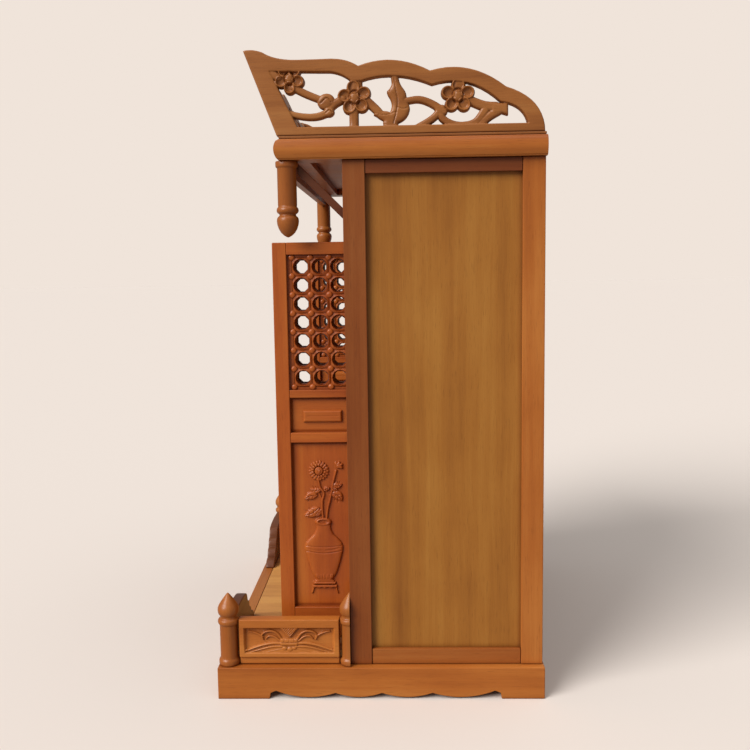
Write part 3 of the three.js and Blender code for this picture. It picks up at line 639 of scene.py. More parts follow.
class Carving:
    """Heights over a rectangle of a face, in millimetres, and how far each point lies inside the wood."""

    def __init__(self, low, high, step, ground=0.0):
        self.step = step
        self.u = np.linspace(low[0], high[0], round((high[0] - low[0]) / step) + 1)
        self.v = np.linspace(low[1], high[1], round((high[1] - low[1]) / step) + 1)
        self.U, self.V = np.meshgrid(self.u, self.v, indexing="ij")
        self.height = np.full(self.U.shape, float(ground))
        self.wood = np.full(self.U.shape, -99.0)

    def raised(self, inside, height, base=0.3, width=2.0, pierced=False):
        """Leaves a form standing. It rises from base at its edge to height at a width inside it."""
        rise = np.clip(inside / width, 0, 1)
        form = base + (height - base) * np.sqrt(1 - (1 - rise) ** 2)
        form = np.where(inside < 0, base + 3 * inside, form)
        self.height = np.maximum(self.height, form)
        if pierced:
            self.wood = np.maximum(self.wood, inside)

    def stroke(self, points, widths, smooth=True):
        """Distance inside a line that is as wide as its widths say, from its start to its end."""
        line = smooth_line(points) if smooth else np.array(points, float)
        start, end = np.atleast_1d(widths)[[0, -1]]
        length = np.concatenate([[0], np.cumsum(np.hypot(*np.diff(line, axis=0).T))])
        inside = np.full(self.U.shape, -99.0)
        for (p, q), (s, t) in zip(zip(line, line[1:]), zip(length / length[-1], length[1:] / length[-1])):
            d = q - p
            along = np.clip(((self.U - p[0]) * d[0] + (self.V - p[1]) * d[1]) / max(d @ d, 1e-9), 0, 1)
            away = np.hypot(self.U - p[0] - along * d[0], self.V - p[1] - along * d[1])
            half = (start + (end - start) * (s + (t - s) * along)) / 2
            inside = np.maximum(inside, half - away)
        return inside

    def oval(self, centre, radii, turn=0.0):
        """Distance inside an oval, near enough for a carver."""
        u, v = self.U - centre[0], self.V - centre[1]
        a, b = u * math.cos(turn) + v * math.sin(turn), v * math.cos(turn) - u * math.sin(turn)
        return (1 - np.hypot(a / radii[0], b / radii[1])) * min(radii)

    def outline(self, corners):
        """Distance inside a closed outline."""
        corners = np.array(corners, float)
        nearest = np.full(self.U.shape, 1e9)
        crossings = np.zeros(self.U.shape, bool)
        for p, q in zip(corners, np.roll(corners, -1, axis=0)):
            d = q - p
            along = np.clip(((self.U - p[0]) * d[0] + (self.V - p[1]) * d[1]) / max(d @ d, 1e-9), 0, 1)
            away = (self.U - p[0] - along * d[0]) ** 2 + (self.V - p[1] - along * d[1]) ** 2
            nearest = np.minimum(nearest, away)
            if p[1] != q[1]:
                at = p[0] + (self.V - p[1]) * d[0] / d[1]
                crossings ^= ((p[1] > self.V) != (q[1] > self.V)) & (self.U < at)
        return np.where(crossings, 1, -1) * np.sqrt(nearest)

    def leaf(self, base, tip, width, bend=0.0):
        """Distance inside a pointed leaf, and the line of its midrib."""
        base, tip = np.array(base, float), np.array(tip, float)
        along = tip - base
        across = np.array((-along[1], along[0]))
        rib = [base, base + along * 0.5 + across * bend, tip]
        line = smooth_line(rib, 6)
        t = np.linspace(0, 1, len(line))
        half = width / 2 * np.sin(np.pi * t ** 0.8) ** 0.85
        side = np.gradient(line, axis=0)
        side = np.stack([-side[:, 1], side[:, 0]], 1) / np.hypot(*side.T)[:, None]
        edge = np.vstack([line + side * half[:, None], (line - side * half[:, None])[::-1]])
        return self.outline(edge), rib

    def add_leaf(self, base, tip, width, height, bend=0.0, base_height=0.4, pierced=False):
        """A leaf with a raised body and a groove for its midrib."""
        inside, rib = self.leaf(base, tip, width, bend)
        self.raised(inside, height, base_height, width * 0.32, pierced)
        self.groove(rib, width * 0.13, min(height * 0.45, 0.9), inside)

    def groove(self, points, width, depth, within=None):
        """A V cut along a line, and only inside a form if one is given."""
        cut = depth * np.clip(self.stroke(points, width) / (width / 2), 0, 1)
        if within is not None:
            cut = cut * np.clip(within / 0.8, 0, 1)
        self.height -= cut

    def blossom(self, centre, radius, low, high, petals=5, turn=0.3, pierced=False):
        """A flower seen from the front: dished petals with curled rims round an oval eye."""
        centre = np.array(centre, float)
        size = radius * 0.43
        for i in range(petals):
            angle = turn + i / petals * 2 * math.pi
            middle = centre + radius * 0.58 * np.array((math.cos(angle), math.sin(angle)))
            inside = self.oval(middle, (size, size * 0.95), angle)
            depth = np.clip(1 - inside / size, 0, 1)
            rim = np.exp(-((depth - 0.80) / 0.17) ** 2)
            form = (high - low) * (0.30 + 0.70 * rim) * np.sqrt(np.clip(inside / 0.9, 0, 1))
            form = low + np.where(inside > 0, form, 3 * inside)
            self.height = np.maximum(self.height, form)
            if pierced:
                self.wood = np.maximum(self.wood, inside)
        eye = self.oval(centre, (radius * 0.27, radius * 0.34))
        if pierced:
            self.wood = np.maximum(self.wood, self.oval(centre, (radius * 0.5, radius * 0.5)))
        moat = np.exp(-((eye + 0.6) / 0.8) ** 2)
        self.height -= moat * (high - low) * 0.45
        self.raised(eye, high, low + (high - low) * 0.3, radius * 0.2)


# %% Faces and shells
def face_mesh(name, carving, place, depth):
    """A closed panel: the carved face, straight edges and a flat back at a depth behind the ground."""
    nu, nv = carving.U.shape
    front = place(carving.U.ravel(), carving.V.ravel(), carving.height.ravel())
    index = np.arange(nu * nv).reshape(nu, nv)
    quads = np.stack([index[:-1, :-1], index[1:, :-1], index[1:, 1:], index[:-1, 1:]], -1).reshape(-1, 4)
    rim = np.concatenate([index[:, 0], index[-1, 1:], index[-2::-1, -1], index[0, -2:0:-1]])
    back = place(carving.U.ravel()[rim], carving.V.ravel()[rim], np.full(len(rim), -float(depth)))
    low = np.arange(len(rim)) + nu * nv
    walls = np.stack([rim, low, np.roll(low, -1), np.roll(rim, -1)], -1)
    faces = quads.tolist() + walls.tolist() + [low[::-1].tolist()]
    piece = from_points(name, np.vstack([front, back]), faces)
    outward(piece.data)
    return piece


def thinned(piece, most):
    """Fewer faces where the surface is plain, down to a number of triangles."""
    triangles = sum(len(face.vertices) - 2 for face in piece.data.polygons)
    if triangles > most:
        thin = piece.modifiers.new("thinned", "DECIMATE")
        thin.ratio = most / triangles
        settled(piece)
    shade(piece.data, 42)
    return piece

# %% [markdown]
# ## The leaves of the doors
#
# A leaf is a frame of two stiles and four rails round three panels: a lattice, a small tablet and a tall
# panel with a vase of chrysanthemums. Every part is made once, for the outer leaf on the right. The inner
# leaf is folded on its back, so it is the mirror image of the outer one, and the left pair mirrors the
# right pair.

# %% Places on a leaf
LEAF = {part: node_box(f"outer_door_right_{part}") for part in ("frame", "lattice", "tablet", "vase_panel")}
LEAF_LOW, LEAF_HIGH = LEAF["frame"]
STILE = 15
LIP = 5                              # the frame stands this far in front of its panels
GROUND_X = LEAF_HIGH[0] - LIP - 0.1
FIELD_Y = (LEAF_LOW[1] + STILE, LEAF_HIGH[1] - STILE)
FIELDS = {"lattice": (331.6, 476.5), "tablet": (284.7, 323.0), "vase_panel": (88.4, 273.8)}
FOLD_X = (LEAF_LOW[0] + node_box("inner_door_right_frame")[1][0]) / 2


def mirror_x(at=0.0):
    """A mirror in an upright plane across X."""
    return Matrix.Translation((2 * at * MM, 0, 0)) @ Matrix.Scale(-1, 4, (1, 0, 0))


LEAVES = {
    "outer_door_right": Matrix.Identity(4), "inner_door_right": mirror_x(FOLD_X),
    "outer_door_left": mirror_x(), "inner_door_left": mirror_x() @ mirror_x(FOLD_X),
}


def copy_of(piece, name, place):
    """A copy of a piece put elsewhere. A mirror turns its faces over, so they are turned back."""
    mesh = piece.data.copy()
    mesh.name = name
    mesh.transform(place)
    if place.determinant() < 0:
        mesh.flip_normals()
    return new_object(name, mesh)


def dress_leaves(piece, part, grain="Z", stain=0.0):
    """Puts a part of the outer right leaf on all four leaves."""
    for leaf, place in LEAVES.items():
        copy = copy_of(piece, f"{leaf}_{part}_wood", place)
        dress(copy, [f"{leaf}_{part}"], "door_wood", grain, stain)
    bpy.data.objects.remove(piece)


def dress_pair(piece, node, slot, grain, stain=0.0):
    """Puts a piece made for the right side on both sides."""
    for side, place in (("right", Matrix.Identity(4)), ("left", mirror_x())):
        dress(copy_of(piece, f"{node}_{side}_wood", place), [f"{node}_{side}"], slot, grain, stain)
    bpy.data.objects.remove(piece)


# %% Leaf frames
def joined(name, parts):
    """Several objects as one piece."""
    shape = bmesh.new()
    for part in parts:
        shape.from_mesh(part.data)
        bpy.data.objects.remove(part)
    mesh = bpy.data.meshes.new(name)
    shape.to_mesh(mesh)
    shape.free()
    return new_object(name, mesh)


def batten(name, low, high, grain, number, ease=0.9):
    """One straight piece of a frame, with its own grain."""
    x, y, z = zip(low, high)
    points = [(a, b, c) for a in x for b in y for c in z]
    faces = [(0, 1, 3, 2), (4, 6, 7, 5), (0, 4, 5, 1), (2, 3, 7, 6), (0, 2, 6, 4), (1, 5, 7, 3)]
    piece = eased(from_points(name, points, faces), ease, 3)
    shift = np.array((0.29, 0.11, 0.19)) * (number + 1)
    write_attribute(piece.data, "board", "FLOAT_VECTOR", board_places(piece.data, grain, shift))
    write_attribute(piece.data, "stain", "FLOAT", np.full(len(piece.data.vertices), 0.07 * (number * 3 % 4)))
    return piece


def leaf_frame():
    low, high = LEAF_LOW, LEAF_HIGH
    parts = [batten("stile", (low[0], y0, low[2]), (high[0], y1, high[2]), "Z", i)
             for i, (y0, y1) in enumerate([(low[1], FIELD_Y[0]), (FIELD_Y[1], high[1])])]
    edges = [low[2], *FIELDS["vase_panel"], *FIELDS["tablet"], *FIELDS["lattice"], high[2]]
    for i in range(0, len(edges), 2):
        ends = (low[0], FIELD_Y[0], edges[i]), (high[0], FIELD_Y[1], edges[i + 1])
        parts.append(batten("rail", *ends, "Y", 2 + i))
    return joined("leaf_frame", parts)


dress_leaves(leaf_frame(), "frame")
print("leaf frames: 4, each of 6 battens")

# %% [markdown]
# ## The lattice
#
# The upper panel is pierced by three columns of eight-sided holes, with a small rounded stud where four
# holes meet. The holes narrow towards the back, and their walls are darkened with painted shade. That is one
# cell repeated 21 times and one stud repeated 32 times, so Geometry Nodes lays both out: a grid of points for
# the cells, a grid with one more row and column for the studs, and an instance on each point. The tree ends
# by making the instances real, because an export can't carry them.

# %% One cell and one stud
CELL_STEPS = 64
CELL_DEPTH = 7.0
HOLE_FACE = 8.3
HOLE_BACK = 6.9
STUD_R = 3.7


def ringed(name, rings, stains_and_shades):
    """A skin over rings of as many points each, from the outside in, with a darkening for each ring, which is
    stain on some rings and painted shade on others.
    """
    count = len(rings[0])
    faces = []
    for ring in range(len(rings) - 1):
        for i in range(count):
            a, b = ring * count + i, ring * count + (i + 1) % count
            faces.append((a, b, b + count, a + count))
    piece = from_points(name, np.vstack(rings), faces)
    write_attribute(piece.data, "stain", "FLOAT", np.repeat(stains_and_shades, count))
    return piece


def lattice_cell(pitch):
    """A square plate with an eight-cusped hole that narrows towards its back, darkened inside with painted
    shade.
    """
    angles = (np.arange(CELL_STEPS) + 0.5) / CELL_STEPS * 2 * math.pi
    ray = np.stack([np.cos(angles), np.sin(angles)], 1)
    edge = ray / np.abs(ray).max(1)[:, None] * pitch / 2
    cusps = 1 + 0.10 * (1 - np.abs(np.sin(4 * angles)) ** 0.7)
    eighth = math.pi / 4
    across = np.cos(eighth / 2) / np.cos((angles + eighth / 2) % eighth - eighth / 2)
    face = ray * (HOLE_FACE * cusps * across)[:, None]
    inner = ray * (HOLE_BACK * 1.06 * across)[:, None]
    # Each level is an outline, a height and a darkening. The hole's rim and walls get the darkest, as painted
    # shade for the shade inside the hole.
    levels = [(edge, 0.7, 0.35), (edge * 0.55 + face * 0.45, 1.5, 0.2), (face * 1.06, 2.0, 0.25),
              (face, 1.5, 0.7), (face * 0.55 + inner * 0.45, -0.2, 0.95), (inner, -2.2, 1.0),
              (inner, -CELL_DEPTH, 1.0), (edge, -CELL_DEPTH, 0.5)]
    rings = [np.column_stack([np.full(CELL_STEPS, height), ring]) for ring, height, _ in levels]
    cell = ringed("lattice_cell", rings, [stain for _, _, stain in levels])
    shade(cell.data, 45)
    return cell


def stud():
    """A small knob, nearly a square stood on its corner, with rounded sides and top."""
    sides, steps = 20, 6
    angles = np.arange(sides) / sides * 2 * math.pi
    square = (np.abs(np.cos(angles)) ** 1.7 + np.abs(np.sin(angles)) ** 1.7) ** (-1 / 1.7)
    outline = np.stack([square * np.cos(angles), square * np.sin(angles)], 1) * STUD_R
    rings = [np.column_stack([np.full(sides, -1.0), outline])]
    # The foot of the stud is darkened with painted shade. Its top is lightened, partly for its own orange
    # tone and partly as a painted highlight.
    stains_and_shades = [0.9]
    for step in range(steps + 1):
        lift = math.pi / 2 * step / steps
        reach = max(math.cos(lift), 0.02) ** 0.7
        rings.append(np.column_stack([np.full(sides, 1.0 + 2.4 * math.sin(lift)), outline * reach]))
        stains_and_shades.append(0.6 if step == 0 else -0.35)
    knob = ringed("stud", rings, stains_and_shades)
    outward(knob.data)
    shade(knob.data, 60)
    return knob


# %% The lattice tree
def socket(tree, name, kind, value=None, in_out="INPUT"):
    """A named socket of a geometry tree."""
    item = tree.interface.new_socket(name=name, in_out=in_out, socket_type=kind)
    if value is not None:
        item.default_value = value
    return item


def grid_of(tree, start, thing, across, up, pitch):
    """One thing on every point of an upright grid."""
    size = []
    for count in (across, up):
        gaps = add(tree, "ShaderNodeMath", {0: count, 1: 1.0}, operation="SUBTRACT").outputs[0]
        size.append(add(tree, "ShaderNodeMath", {0: gaps, 1: pitch}, operation="MULTIPLY").outputs[0])
    grid = add(tree, "GeometryNodeMeshGrid", {
        "Size X": size[1], "Size Y": size[0], "Vertices X": up, "Vertices Y": across})
    upright = add(tree, "GeometryNodeTransform", {
        "Geometry": grid.outputs["Mesh"], "Rotation": (0, -math.pi / 2, 0), "Translation": start})
    source = add(tree, "GeometryNodeObjectInfo", {"Object": thing})
    return add(tree, "GeometryNodeInstanceOnPoints", {
        "Points": upright.outputs[0], "Instance": source.outputs["Geometry"]}).outputs[0]


def lattice_tree():
    """Cells and studs laid out over a panel."""
    tree = bpy.data.node_groups.new("lattice", "GeometryNodeTree")
    socket(tree, "Geometry", "NodeSocketGeometry", in_out="OUTPUT")
    socket(tree, "Geometry", "NodeSocketGeometry")
    for name, kind, value in (
            ("Cell", "NodeSocketObject", None), ("Stud", "NodeSocketObject", None),
            ("Columns", "NodeSocketInt", 3),
            ("Rows", "NodeSocketInt", 7), ("Pitch", "NodeSocketFloat", 0.02),
            ("Middle", "NodeSocketVector", None),
            ("Wood", "NodeSocketMaterial", None)):
        socket(tree, name, kind, value)
    given = add(tree, "NodeGroupInput").outputs
    cells = grid_of(tree, given["Middle"], given["Cell"], given["Columns"], given["Rows"], given["Pitch"])
    more = [add(tree, "ShaderNodeMath", {0: given[name], 1: 1.0}).outputs[0] for name in ("Columns", "Rows")]
    studs = grid_of(tree, given["Middle"], given["Stud"], *more, given["Pitch"])
    both = add(tree, "GeometryNodeJoinGeometry")
    for part in (given["Geometry"], cells, studs):
        tree.links.new(part, both.inputs[0])
    real = add(tree, "GeometryNodeRealizeInstances", {"Geometry": both.outputs[0]})
    wood = add(tree, "GeometryNodeSetMaterial", {"Geometry": real.outputs[0], "Material": given["Wood"]})
    add(tree, "NodeGroupOutput", {0: wood.outputs[0]})
    return tree


def grown(piece, tree, **values):
    """Runs a geometry tree on a piece with the given inputs, and keeps the result as a plain mesh."""
    modifier = piece.modifiers.new(tree.name, "NODES")
    modifier.node_group = tree
    names = {item.name: item.identifier for item in tree.interface.items_tree if item.in_out == "INPUT"}
    for name, value in values.items():
        modifier[names[name]] = value
    return settled(piece)


def lattice_border(columns, rows, pitch, middle):
    """The plain strip between the cells and the frame, and the edge that sits in the rebate."""
    low, high = LEAF["lattice"]
    half = (columns * pitch / 2, rows * pitch / 2)
    inner = (middle[1] - half[0], middle[2] - half[1], middle[1] + half[0], middle[2] + half[1])
    outer = (low[1], low[2], high[1], high[2])
    corner = ((0, 1), (2, 1), (2, 3), (0, 3))
    points = []
    for x in (GROUND_X + 1.3, GROUND_X - CELL_DEPTH):
        for rect in (outer, inner):
            points += [(x, rect[a], rect[b]) for a, b in corner]
    faces = []
    for i in range(4):
        j = (i + 1) % 4
        faces += [(i, j, j + 4, i + 4), (8 + i, 12 + i, 12 + j, 8 + j), (i, i + 8, j + 8, j)]
    border = from_points("lattice_border", points, faces)
    write_attribute(border.data, "stain", "FLOAT", np.full(len(points), 0.3))
    return border


low, high = LEAF["lattice"]
PITCH = 19.9
middle = (GROUND_X, sum(FIELD_Y) / 2, sum(FIELDS["lattice"]) / 2)
cell, knob = lattice_cell(PITCH), stud()
lattice = grown(lattice_border(3, 7, PITCH, middle), lattice_tree(), Cell=cell, Stud=knob, Columns=3, Rows=7,
                Pitch=PITCH * MM, Middle=tuple(value * MM for value in middle), Wood=FINISHES["door_wood"])
for part in (cell, knob):
    bpy.data.objects.remove(part)
print("lattice:", len(lattice.data.polygons), "faces in a leaf")
shade(lattice.data, 45)
dress_leaves(lattice, "lattice", "Z")

# %% [markdown]
# ## The tablet and the vase panel
#
# The tablet is a plain raised bar. The vase panel is the finest carving on the cabinet: a shouldered vase
# on a small stand, an open chrysanthemum, a bud, and notched leaves. Its forms follow an axis through the
# vase, with the distance across from that axis and the height above the ground.

# %% Tablet
FINE_STEP = 0.4


def leaf_face(y, z, h):
    """From a point on a panel's face, and its height there, to the outer right leaf."""
    return np.stack([GROUND_X + h, y, z], -1)


def panel_carving(part):
    low, high = LEAF[part]
    carving = Carving(low[1:], high[1:], FINE_STEP)
    edge = np.minimum(np.minimum(carving.U - FIELD_Y[0], FIELD_Y[1] - carving.U),
                      np.minimum(carving.V - FIELDS[part][0], FIELDS[part][1] - carving.V))
    carving.height -= 0.9 * np.exp(-(np.clip(edge, 0, None) / 2.2) ** 2)
    return carving


def panel_back(part):
    return GROUND_X - LEAF[part][0][0]


tablet = panel_carving("tablet")
axis = sum(FIELD_Y) / 2
bar = [(axis - 21, 296), (axis + 21, 296), (axis + 21, 308.8), (axis - 21, 308.8)]
tablet.raised(tablet.outline(bar), 3.2, 0.8, 2.2)
tablet.groove([(axis - 17, 302.4), (axis + 17, 302.4)], 1.6, 0.25)
dress_leaves(thinned(face_mesh("tablet", tablet, leaf_face, panel_back("tablet")), 9000), "tablet", "Y", 0.1)


# %% Vase of chrysanthemums
def vase_relief():
    c = panel_carving("vase_panel")
    axis = sum(FIELD_Y) / 2 - 1.5

    def at(*points):
        return [(axis + y, z) for y, z in points]

    right = [(10.6, 114.8), (10.6, 117.4), (9.2, 118.6), (9.8, 120.4), (13.6, 127.2), (17.6, 140),
             (20.6, 152.5),
             (20.8, 156.5), (19.4, 160.8), (15.6, 165.4), (10.4, 170.4), (8.0, 175.4), (7.4, 179.6),
             (8.0, 184)]
    body = c.outline(at(*right) + at(*[(-y, z) for y, z in reversed(right)]))
    c.raised(body, 2.9, 1.3, 7.0)
    for z, sag, depth in ((157.5, 1.6, 0.5), (151.6, 2.6, 0.65)):
        c.groove(at((-19.5, z), (0, z - sag), (19.5, z)), 1.5, depth, body)
    c.groove(at((-17, 154.6), (-10, 152.4), (-2, 152.2)), 1.3, 0.3, body)
    c.groove(at((2, 152.2), (10, 153.2), (17, 155.2)), 2.6, 0.45, body)
    for y in np.linspace(-7.5, 7.5, 5):
        c.raised(c.oval((axis + y, 122.8), (2.1, 4.0), -0.05 * y), 3.3, 2.2, 1.5)
        c.groove(at((y, 119.6), (y * 1.1, 125.5)), 0.9, 0.4)
    rim = c.oval((axis - 0.2, 184.2), (8.6, 4.6))
    c.raised(rim, 3.3, 1.6, 1.8)
    c.height -= 1.7 * np.clip(c.oval((axis - 0.2, 184.9), (6.2, 2.5)) / 0.8, 0, 1)

    c.raised(c.outline(at((-12.2, 113.6), (12, 113.6), (12.4, 116.2), (-12.4, 116.2))), 2.7, 1.2, 1.1)
    top = [(-13.8, 112.6), (13.8, 112.6), (13.6, 110.2)]
    scallops = [(y, 108.9 + 0.9 * abs(math.sin(y * 0.46))) for y in np.linspace(12, -12, 17)]
    c.raised(c.outline(at(*top, *scallops, (-13.6, 110.2))), 2.5, 1.0, 1.0)
    for side in (-1, 1):
        leg = [(side * 12.6, 110), (side * 13.2, 106.5), (side * 14.4, 103.6)]
        c.raised(c.stroke(at(*leg), (2.2, 1.6)), 1.7, 0.4, 0.9)

    stems = [[(0.2, 184.5), (-1.0, 195.5), (-0.9, 207.9), (1.0, 216.4), (-3.1, 223.4), (-4.9, 233)],
             [(3.0, 184.5), (4.9, 198.7), (7.6, 209.5), (10.0, 219.6), (11.6, 229.5), (14.8, 241.5)],
             [(-1.0, 205), (-2.4, 212), (-6.4, 218.6), (-13.4, 215.7), (-19.6, 211.6)],
             [(-1, 198.5), (-5.6, 196.5)], [(8.2, 214.5), (11.6, 213.2)], [(11, 226.2), (15.5, 228)]]
    for i, line in enumerate(stems):
        c.raised(c.stroke(at(*line), 2.5 if i < 2 else 1.8), 2.0 if i < 2 else 1.4, 0.5, 1.2)

    leaves = [((-5.8, 214.6), (-20.6, 209.8), 9.0, -0.10), ((-1.8, 221.0), (-13.8, 221.6), 6.6, 0.16),
              ((1.0, 219.4), (8.0, 222.2), 5.4, 0.1), ((-4.4, 200.6), (-21.4, 191.6), 10.5, 0.10),
              ((-3.2, 197.4), (-8.4, 190.6), 5.0, 0.1), ((9.4, 216.8), (21.2, 207.4), 10.0, 0.14),
              ((11.2, 225.8), (21.4, 226.8), 6.4, -0.16), ((10.2, 222.6), (16.8, 219.8), 5.0, -0.1)]
    for base, tip, width, bend in leaves:
        (base, tip) = at(base, tip)
        c.add_leaf(base, tip, width, 2.2, bend, 0.6)
        along = np.array(tip) - base
        across = np.array((-along[1], along[0])) / np.hypot(*along)
        for t in (0.34, 0.6):
            for side in (-1, 1):
                root = np.array(base) + along * t
                c.groove([root, root + along * 0.2 + across * side * width * 0.42], 1.1, 0.55)

    heart = (axis - 4.0, 241.6)
    for ring, (radius, count, size, lift) in enumerate(((9.0, 18, 1.75, 1.7), (6.6, 14, 1.6, 2.3))):
        for i in range(count):
            angle = (i + 0.5 * ring) / count * 2 * math.pi
            petal = (heart[0] + radius * math.cos(angle), heart[1] + radius * math.sin(angle))
            c.raised(c.oval(petal, (size * 1.25, size * 0.92), angle), lift, 0.5, 0.9)
    c.raised(c.oval(heart, (5.0, 5.0)), 2.2, 1.0, 1.6)
    c.height -= 0.9 * np.exp(-((np.hypot(c.U - heart[0], c.V - heart[1]) - 4.9) / 0.55) ** 2)
    c.raised(c.oval((heart[0] + 0.2, heart[1] - 0.1), (2.5, 3.5), -0.25), 2.9, 1.3, 1.7)
    c.groove([(heart[0] + u, heart[1] + v) for u, v in ((-1.4, -2.3), (-0.6, 0.8), (1.4, 2.2))], 1.0, 0.6)

    bud = (axis + 17.4, 246.6)
    for i, angle in enumerate((2.2, 1.35, 0.5, -0.35)):
        petal = (bud[0] + 2.5 * math.cos(angle), bud[1] + 2.5 * math.sin(angle))
        c.raised(c.oval(petal, (3.0, 1.7), angle), 2.0 + 0.15 * i, 0.6, 1.2)
    c.raised(c.oval(bud, (2.4, 2.4)), 2.5, 0.9, 1.5)
    return c


vase = face_mesh("vase", vase_relief(), leaf_face, panel_back("vase_panel"))
vase = thinned(vase, 56000)
print("vase panel:", len(vase.data.polygons), "faces")
dress_leaves(vase, "vase_panel", "Z", 0.0)

# %% [markdown]
# ## Pierced boards
#
# The crests are sawn right through, so a height map alone can't make them. Here the board becomes a block
# of samples: each knows how far it lies inside the outline, behind the carved face and in front of the
# back. The least of the three, rounded where two of them meet, is a smooth field, and a skin is drawn where
# it passes zero.

# %% Skin
def rounded_least(a, b, radius):
    """The lesser of two distances, with a round where they meet."""
    short = np.hypot(np.maximum(radius - a, 0), np.maximum(radius - b, 0))
    return np.maximum(radius, np.minimum(a, b)) - short


def skin(field, step, low):
    """Points and faces of the surface where samples pass zero, with one point in each mixed cell."""
    inside = field > 0
    cells = [size - 1 for size in field.shape]

    def corner(block, offset):
        return block[tuple(slice(o, o + n) for o, n in zip(offset, cells))]

    total = np.zeros(cells + [3], np.float32)
    hits = np.zeros(cells, np.float32)
    for axis in range(3):
        for a, b in ((0, 0), (0, 1), (1, 0), (1, 1)):
            start = [0, 0, 0]
            start[(axis + 1) % 3], start[(axis + 2) % 3] = a, b
            end = list(start)
            end[axis] = 1
            f0, f1 = corner(field, start), corner(field, end)
            crosses = corner(inside, start) != corner(inside, end)
            at = np.where(crosses, f0 / np.where(crosses, f0 - f1, 1), 0)
            for k in range(3):
                total[..., k] += crosses * (start[k] + (at if k == axis else 0))
            hits += crosses
    mixed = hits > 0
    points = (np.argwhere(mixed) + total[mixed] / hits[mixed][:, None]) * step + low
    number = np.full(cells, -1)
    number[mixed] = np.arange(len(points))
    faces = []
    for axis in range(3):
        order = (axis, (axis + 1) % 3, (axis + 2) % 3)
        solid, cell = inside.transpose(order), number.transpose(order)
        solid = solid[:, 1:-1, 1:-1]
        for flip, found in ((False, solid[:-1] & ~solid[1:]), (True, ~solid[:-1] & solid[1:])):
            i, j, k = np.argwhere(found).T
            quad = [cell[i, j, k], cell[i, j + 1, k], cell[i, j + 1, k + 1], cell[i, j, k + 1]]
            faces.append(np.stack(quad[::-1] if flip else quad, -1))
    return points, np.vstack(faces)


def pierced_board(name, carving, thickness, place, most, ease=0.9):
    """A board with a carved face and a flat back, cut to the outline of its carving."""
    step = carving.step
    depth = np.arange(-thickness - 2.5 * step, 2.5 * step, step, dtype=np.float32)
    across = depth[:, None, None]
    edge = carving.wood.astype(np.float32)[None]
    field = rounded_least(edge, carving.height.astype(np.float32)[None] - across, ease)
    field = rounded_least(field, across + thickness, ease)
    points, faces = skin(field, step, np.array((depth[0], carving.u[0], carving.v[0])))
    piece = from_points(name, place(*points.T), faces.tolist())
    print(f"{name}: {len(faces)} faces before thinning")
    return thinned(piece, most)


# %% Side crest
SKIN_STEP = 0.6
MARGIN = 2.4
CREST_LOW, CREST_HIGH = node_box("crest_side_right")
CREST_RAIL = 604
LEAN = math.tan(math.radians(20.6))


def front_edge(z):
    """The sloping front edge of the side crest."""
    return -99.4 - (z - 600) * LEAN


def path(start, *moves):
    """Points round an outline. A move is a point, or a pull and a point for a bow."""
    points = [list(start)]
    for move in moves:
        if np.ndim(move[0]):
            points += bowed(points[-1], *move, steps=10)
        else:
            points.append(list(move))
    return points


